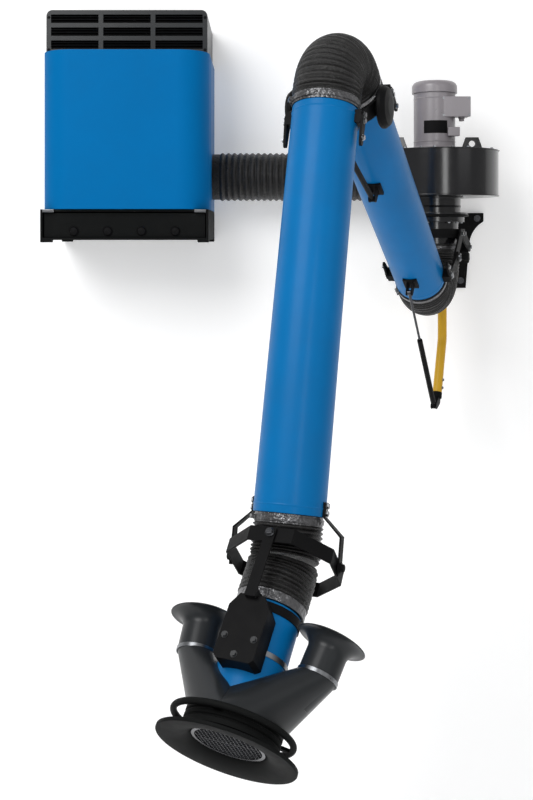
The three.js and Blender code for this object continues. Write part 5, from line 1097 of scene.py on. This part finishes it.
class FUMEARM_OT_hood(bpy.types.Operator):
    """Builds the hood: neck, plenum, dish, guard, ring handle and the two air supply horns"""

    bl_idname = "fume_arm.hood"
    bl_label = "Hood"

    def execute(self, context):
        plastic, steel = FINISH["plastic"], FINISH["steel"]
        neck = rounded([(86, -104), (86, -149), (88, -149), (88, -439.7), (85, -439.7), (85, -161), (83, -149),
                        (83, -104)], 0.8)
        Shape().lathe(HOOD, neck).made("hood_neck_shown", FINISH["blue"], "hood", "blue_paint", ("hood_neck",))
        band(Shape(), HOOD, 88.2, -290, -276).made("neck_band", FINISH["steel"], "hood", "bright_steel")
        lower = Shape().lathe(HOOD, rounded([(94.2, -148), (95.6, -148), (95.6, -122), (94.2, -122)], 0.5))
        lower.made("lower_hose_cuff", FINISH["foil"], "hood", "bright_steel")
        outside = [(84, -440), (127, -440)]
        for middle in (-456.7, -473.3):
            outside += [(127, middle + 3.5), (123, middle + 1), (123, middle - 1), (127, middle - 3.5)]
        plenum = rounded(outside + [(127, -490), (84, -490)], 1.5)
        Shape().lathe(HOOD, plenum).made("plenum_shown", plastic, "hood", "black_plastic", ("plenum",))
        self.dish(plastic)
        self.handle(plastic)
        for name, side in SIDES.items():
            self.horn(name, side, FINISH["horn"])
        clamps = Shape()
        for side in (-1, 1):
            clamps.lathe(horn_place(side), rounded([(53.2, -103), (55.4, -103), (55.4, -93), (53.2, -93)], 0.6), 64)
        clamps.made("horn_bands", steel, "hood", "bright_steel")
        return {"FINISHED"}

    @staticmethod
    def dish(finish):
        """Shallow flared dish with a rolled rim, and the wire guard in its throat."""
        outside, inside = [], []
        for step in range(25):
            turn = math.pi / 2 * step / 24
            radius, height = 99 + 79 * (1 - math.cos(turn)), -490.3 - 17.7 * math.sin(turn)
            outside.append((radius + 6, height))
            inside.append((radius, height - 9 * math.sin(turn)))
        rim = [(184, -511), (184, -514.5), (182, -517)]
        Shape().lathe(HOOD, outside + rim + inside[::-1], 128).made(
            "dish_shown", finish, "hood", "black_plastic", ("dish",))
        ring = Shape().lathe(HOOD, rounded([(88, -496.3), (97, -496.3), (97, -490.3), (88, -490.3)], 1))
        for step in range(4):
            ring.block(HOOD @ turned("Z", 45 * step), (-92, -2.5, -493.5), (92, 2.5, -491))
        ring.made("inlet_grille_shown", FINISH["rod"], "hood", "bright_steel", ("inlet_grille",), 0.0008)
        seed = bpy.data.meshes.new("inlet_mesh")
        seed.from_pydata([(0, 0, 0)], [], [])
        values = {"Radius": 91.0, "Pitch": millimetres(sizes().mesh_pitch),
                  "Wire Radius": millimetres(sizes().mesh_wire), "Finish": FINISH["rod"]}
        grown("inlet_mesh", seed, TREES["guard"], values, HOOD @ moved(0, 0, -495), "hood")

    @staticmethod
    def handle(finish):
        """Round ring handle with three stays to the plenum."""
        circle = [(157 * math.cos(2 * math.pi * i / 120), 157 * math.sin(2 * math.pi * i / 120), -457)
                  for i in range(120)]
        ring = Shape().pipe(HOOD, circle, 8.5, 24, True)
        for turn in (30, 150, 270):
            place = HOOD @ turned("Z", turn) @ moved(0, 0, -457)
            ring.block(place, (127.3, -10, -4), (155, 10, 4))
        ring.made("ring_handle_shown", finish, "hood", "black_plastic", ("ring_handle",), 0.0015)

    @staticmethod
    def horn(name, side, finish):
        """Air supply horn with its spider and fan, and the duct that leads it into the plenum."""
        place = horn_place(side)
        inside, outside = [(50, -98)], [(53, -98)]
        for step in range(25):
            turn = math.pi / 2 * step / 24
            slope = math.hypot(math.cos(turn) / 40, math.sin(turn) / 36)
            point = (90 - 40 * math.cos(turn), -36 + 36 * math.sin(turn))
            inside.append(point)
            outside.append((point[0] + 3 * math.cos(turn) / 40 / slope, point[1] - 3 * math.sin(turn) / 36 / slope))
        horn = Shape().lathe(place, outside + [(92.5, -1)] + inside[::-1])
        for arm in range(3):
            horn.block(place @ turned("Z", 120 * arm), (13, -4, -98), (51.5, 4, -90))
        horn.lathe(place, rounded([(4.6, -98), (14, -98), (14, -90), (4.6, -90)], 1), 40)
        horn.made(f"horn_{name}_shown", finish, "hood", "black_plastic", (f"horn_{name}",))
        eased(f"supply_fan_{name}", finish, f"supply_fan_{name[0]}", 0.0006)
        side_duct(name, side, finish)


class FUMEARM_OT_stage(bpy.types.Operator):
    """Builds the pale wall and floor, the soft lights and the camera"""

    bl_idname = "fume_arm.stage"
    bl_label = "Stage"

    def execute(self, context):
        light = context.scene.fume_arm_light
        self.room(light)
        self.lights(context.scene, light)
        lens = bpy.data.cameras.new("Front Camera")
        lens.sensor_fit, lens.sensor_width, lens.sensor_height, lens.lens = "VERTICAL", 36, 36, 50
        lens.shift_x, lens.shift_y = 0.0, -0.20625
        lens.clip_start, lens.clip_end = 0.1, 60
        camera = bpy.data.objects.new("Front Camera", lens)
        camera.location = (-0.727, -5.190, 0.072)
        camera.rotation_euler = (math.pi / 2, 0, 0)
        context.scene.collection.objects.link(camera)
        context.scene.camera = camera
        return {"FINISHED"}

    @staticmethod
    def room(light):
        """Wall that runs into the floor with a wide curve."""
        depth, low, radius, width = 0.012, -2.35, 1.1, 9.0
        section = [(depth, 4.5), (depth, low + radius)]
        section += [(depth - radius + radius * math.cos(math.radians(a)), low + radius - radius * math.sin(math.radians(a)))
                    for a in range(6, 91, 6)]
        section.append((-9.0, low))
        points = [(x, y, z) for x in (-width, width) for y, z in section]
        count = len(section)
        faces = [(i, i + 1, count + i + 1, count + i) for i in range(count - 1)]
        mesh = bpy.data.meshes.new("pale_room")
        mesh.from_pydata(points, [], faces)
        mesh.shade_smooth()
        room = bpy.data.objects.new("pale_room", mesh)
        bpy.context.scene.collection.objects.link(room)
        material = bpy.data.materials.new("Pale Wall")
        material.use_nodes = True
        nodes = Nodes(material.node_tree)
        shader = material.node_tree.nodes["Principled BSDF"]
        place = nodes.add("ShaderNodeTexCoord").outputs["Object"]
        cloud = nodes.add("ShaderNodeTexNoise", {"Vector": place, "Scale": 1.5, "Detail": 3.0})
        tint = nodes.blend(nodes.math("MULTIPLY", cloud.outputs[0], 0.05), tuple(light.wall), (0.85, 0.85, 0.86))
        nodes.tree.links.new(tint, shader.inputs["Base Color"])
        shader.inputs["Roughness"].default_value = 0.9
        nodes.tree.links.new(tint, shader.inputs["Emission Color"])
        shader.inputs["Emission Strength"].default_value = light.glow
        behind = nodes.add("ShaderNodeNewGeometry").outputs["Backfacing"]
        clear = nodes.add("ShaderNodeBsdfTransparent").outputs[0]
        shown_side = nodes.add("ShaderNodeMixShader", {0: behind, 1: shader.outputs[0], 2: clear})
        nodes.tree.links.new(shown_side.outputs[0], material.node_tree.nodes["Material Output"].inputs["Surface"])
        mesh.materials.append(material)

    @staticmethod
    def lights(scene, light):
        """Large soft panels and an even room light."""
        for name, place, aim, width, height, power in (
                ("Key Panel", (-3.1, -5.0, 3.0), (-0.8, -0.8, -0.1), 3.0, 3.0, light.key),
                ("Front Strip", (0.3, -5.6, 0.8), (0.0, -0.4, 0.3), 0.8, 2.2, light.strip),
                ("Side Panel", (3.2, -4.2, 1.8), (-0.4, -1.2, 0.0), 2.4, 2.4, light.side)):
            panel = bpy.data.lights.new(name, "AREA")
            panel.shape, panel.size, panel.size_y, panel.energy = "RECTANGLE", width, height, power
            lamp = bpy.data.objects.new(name, panel)
            lamp.location = place
            lamp.rotation_euler = (Vector(aim) - Vector(place)).to_track_quat("-Z", "Y").to_euler()
            scene.collection.objects.link(lamp)
        world = bpy.data.worlds.new("Even Room Light")
        world.use_nodes = True
        nodes = Nodes(world.node_tree)
        seen = nodes.add("ShaderNodeLightPath").outputs["Is Camera Ray"]
        strength = nodes.add("ShaderNodeMapRange", {"Value": seen, "To Min": light.room, "To Max": 1.0})
        back = world.node_tree.nodes["Background"]
        back.inputs["Color"].default_value = (1, 1, 1, 1)
        nodes.tree.links.new(strength.outputs[0], back.inputs["Strength"])
        scene.world = world
        scene.view_settings.view_transform = "Standard"


class FUMEARM_PT_panel(bpy.types.Panel):
    """Lists the steps that build the arm and the values they use"""

    bl_idname = "FUMEARM_PT_panel"
    bl_label = "Fume Extraction Arm"
    bl_space_type = "VIEW_3D"
    bl_region_type = "UI"
    bl_category = "Fume Arm"

    def draw(self, context):
        for step in STEPS:
            self.layout.operator(step.bl_idname)
        for group in (context.scene.fume_arm_finishes, context.scene.fume_arm_sizes, context.scene.fume_arm_light):
            for name in group.bl_rna.properties.keys():
                if name not in ("rna_type", "name"):
                    self.layout.prop(group, name)


STEPS = (FUMEARM_OT_wall_bracket, FUMEARM_OT_fan, FUMEARM_OT_cabinet, FUMEARM_OT_shoulder, FUMEARM_OT_arm,
         FUMEARM_OT_hoses, FUMEARM_OT_hood_joint, FUMEARM_OT_hood, FUMEARM_OT_stage)
CLASSES = (ArmFinishes, ArmSizes, StageLight, *STEPS, FUMEARM_PT_panel)


def register():
    for item in CLASSES:
        bpy.utils.register_class(item)
    bpy.types.Scene.fume_arm_finishes = PointerProperty(type=ArmFinishes)
    bpy.types.Scene.fume_arm_sizes = PointerProperty(type=ArmSizes)
    bpy.types.Scene.fume_arm_light = PointerProperty(type=StageLight)


def unregister():
    del bpy.types.Scene.fume_arm_light
    del bpy.types.Scene.fume_arm_sizes
    del bpy.types.Scene.fume_arm_finishes
    for item in reversed(CLASSES):
        bpy.utils.unregister_class(item)


def main():
    """Builds every piece in order."""
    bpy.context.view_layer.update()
    register()
    prepare_finishes()
    prepare_trees()
    bpy.ops.fume_arm.wall_bracket()
    bpy.ops.fume_arm.fan()
    bpy.ops.fume_arm.cabinet()
    bpy.ops.fume_arm.shoulder()
    bpy.ops.fume_arm.arm()
    bpy.ops.fume_arm.hoses()
    bpy.ops.fume_arm.hood_joint()
    bpy.ops.fume_arm.hood()
    bpy.ops.fume_arm.stage()


if __name__ == "__main__":
    main()
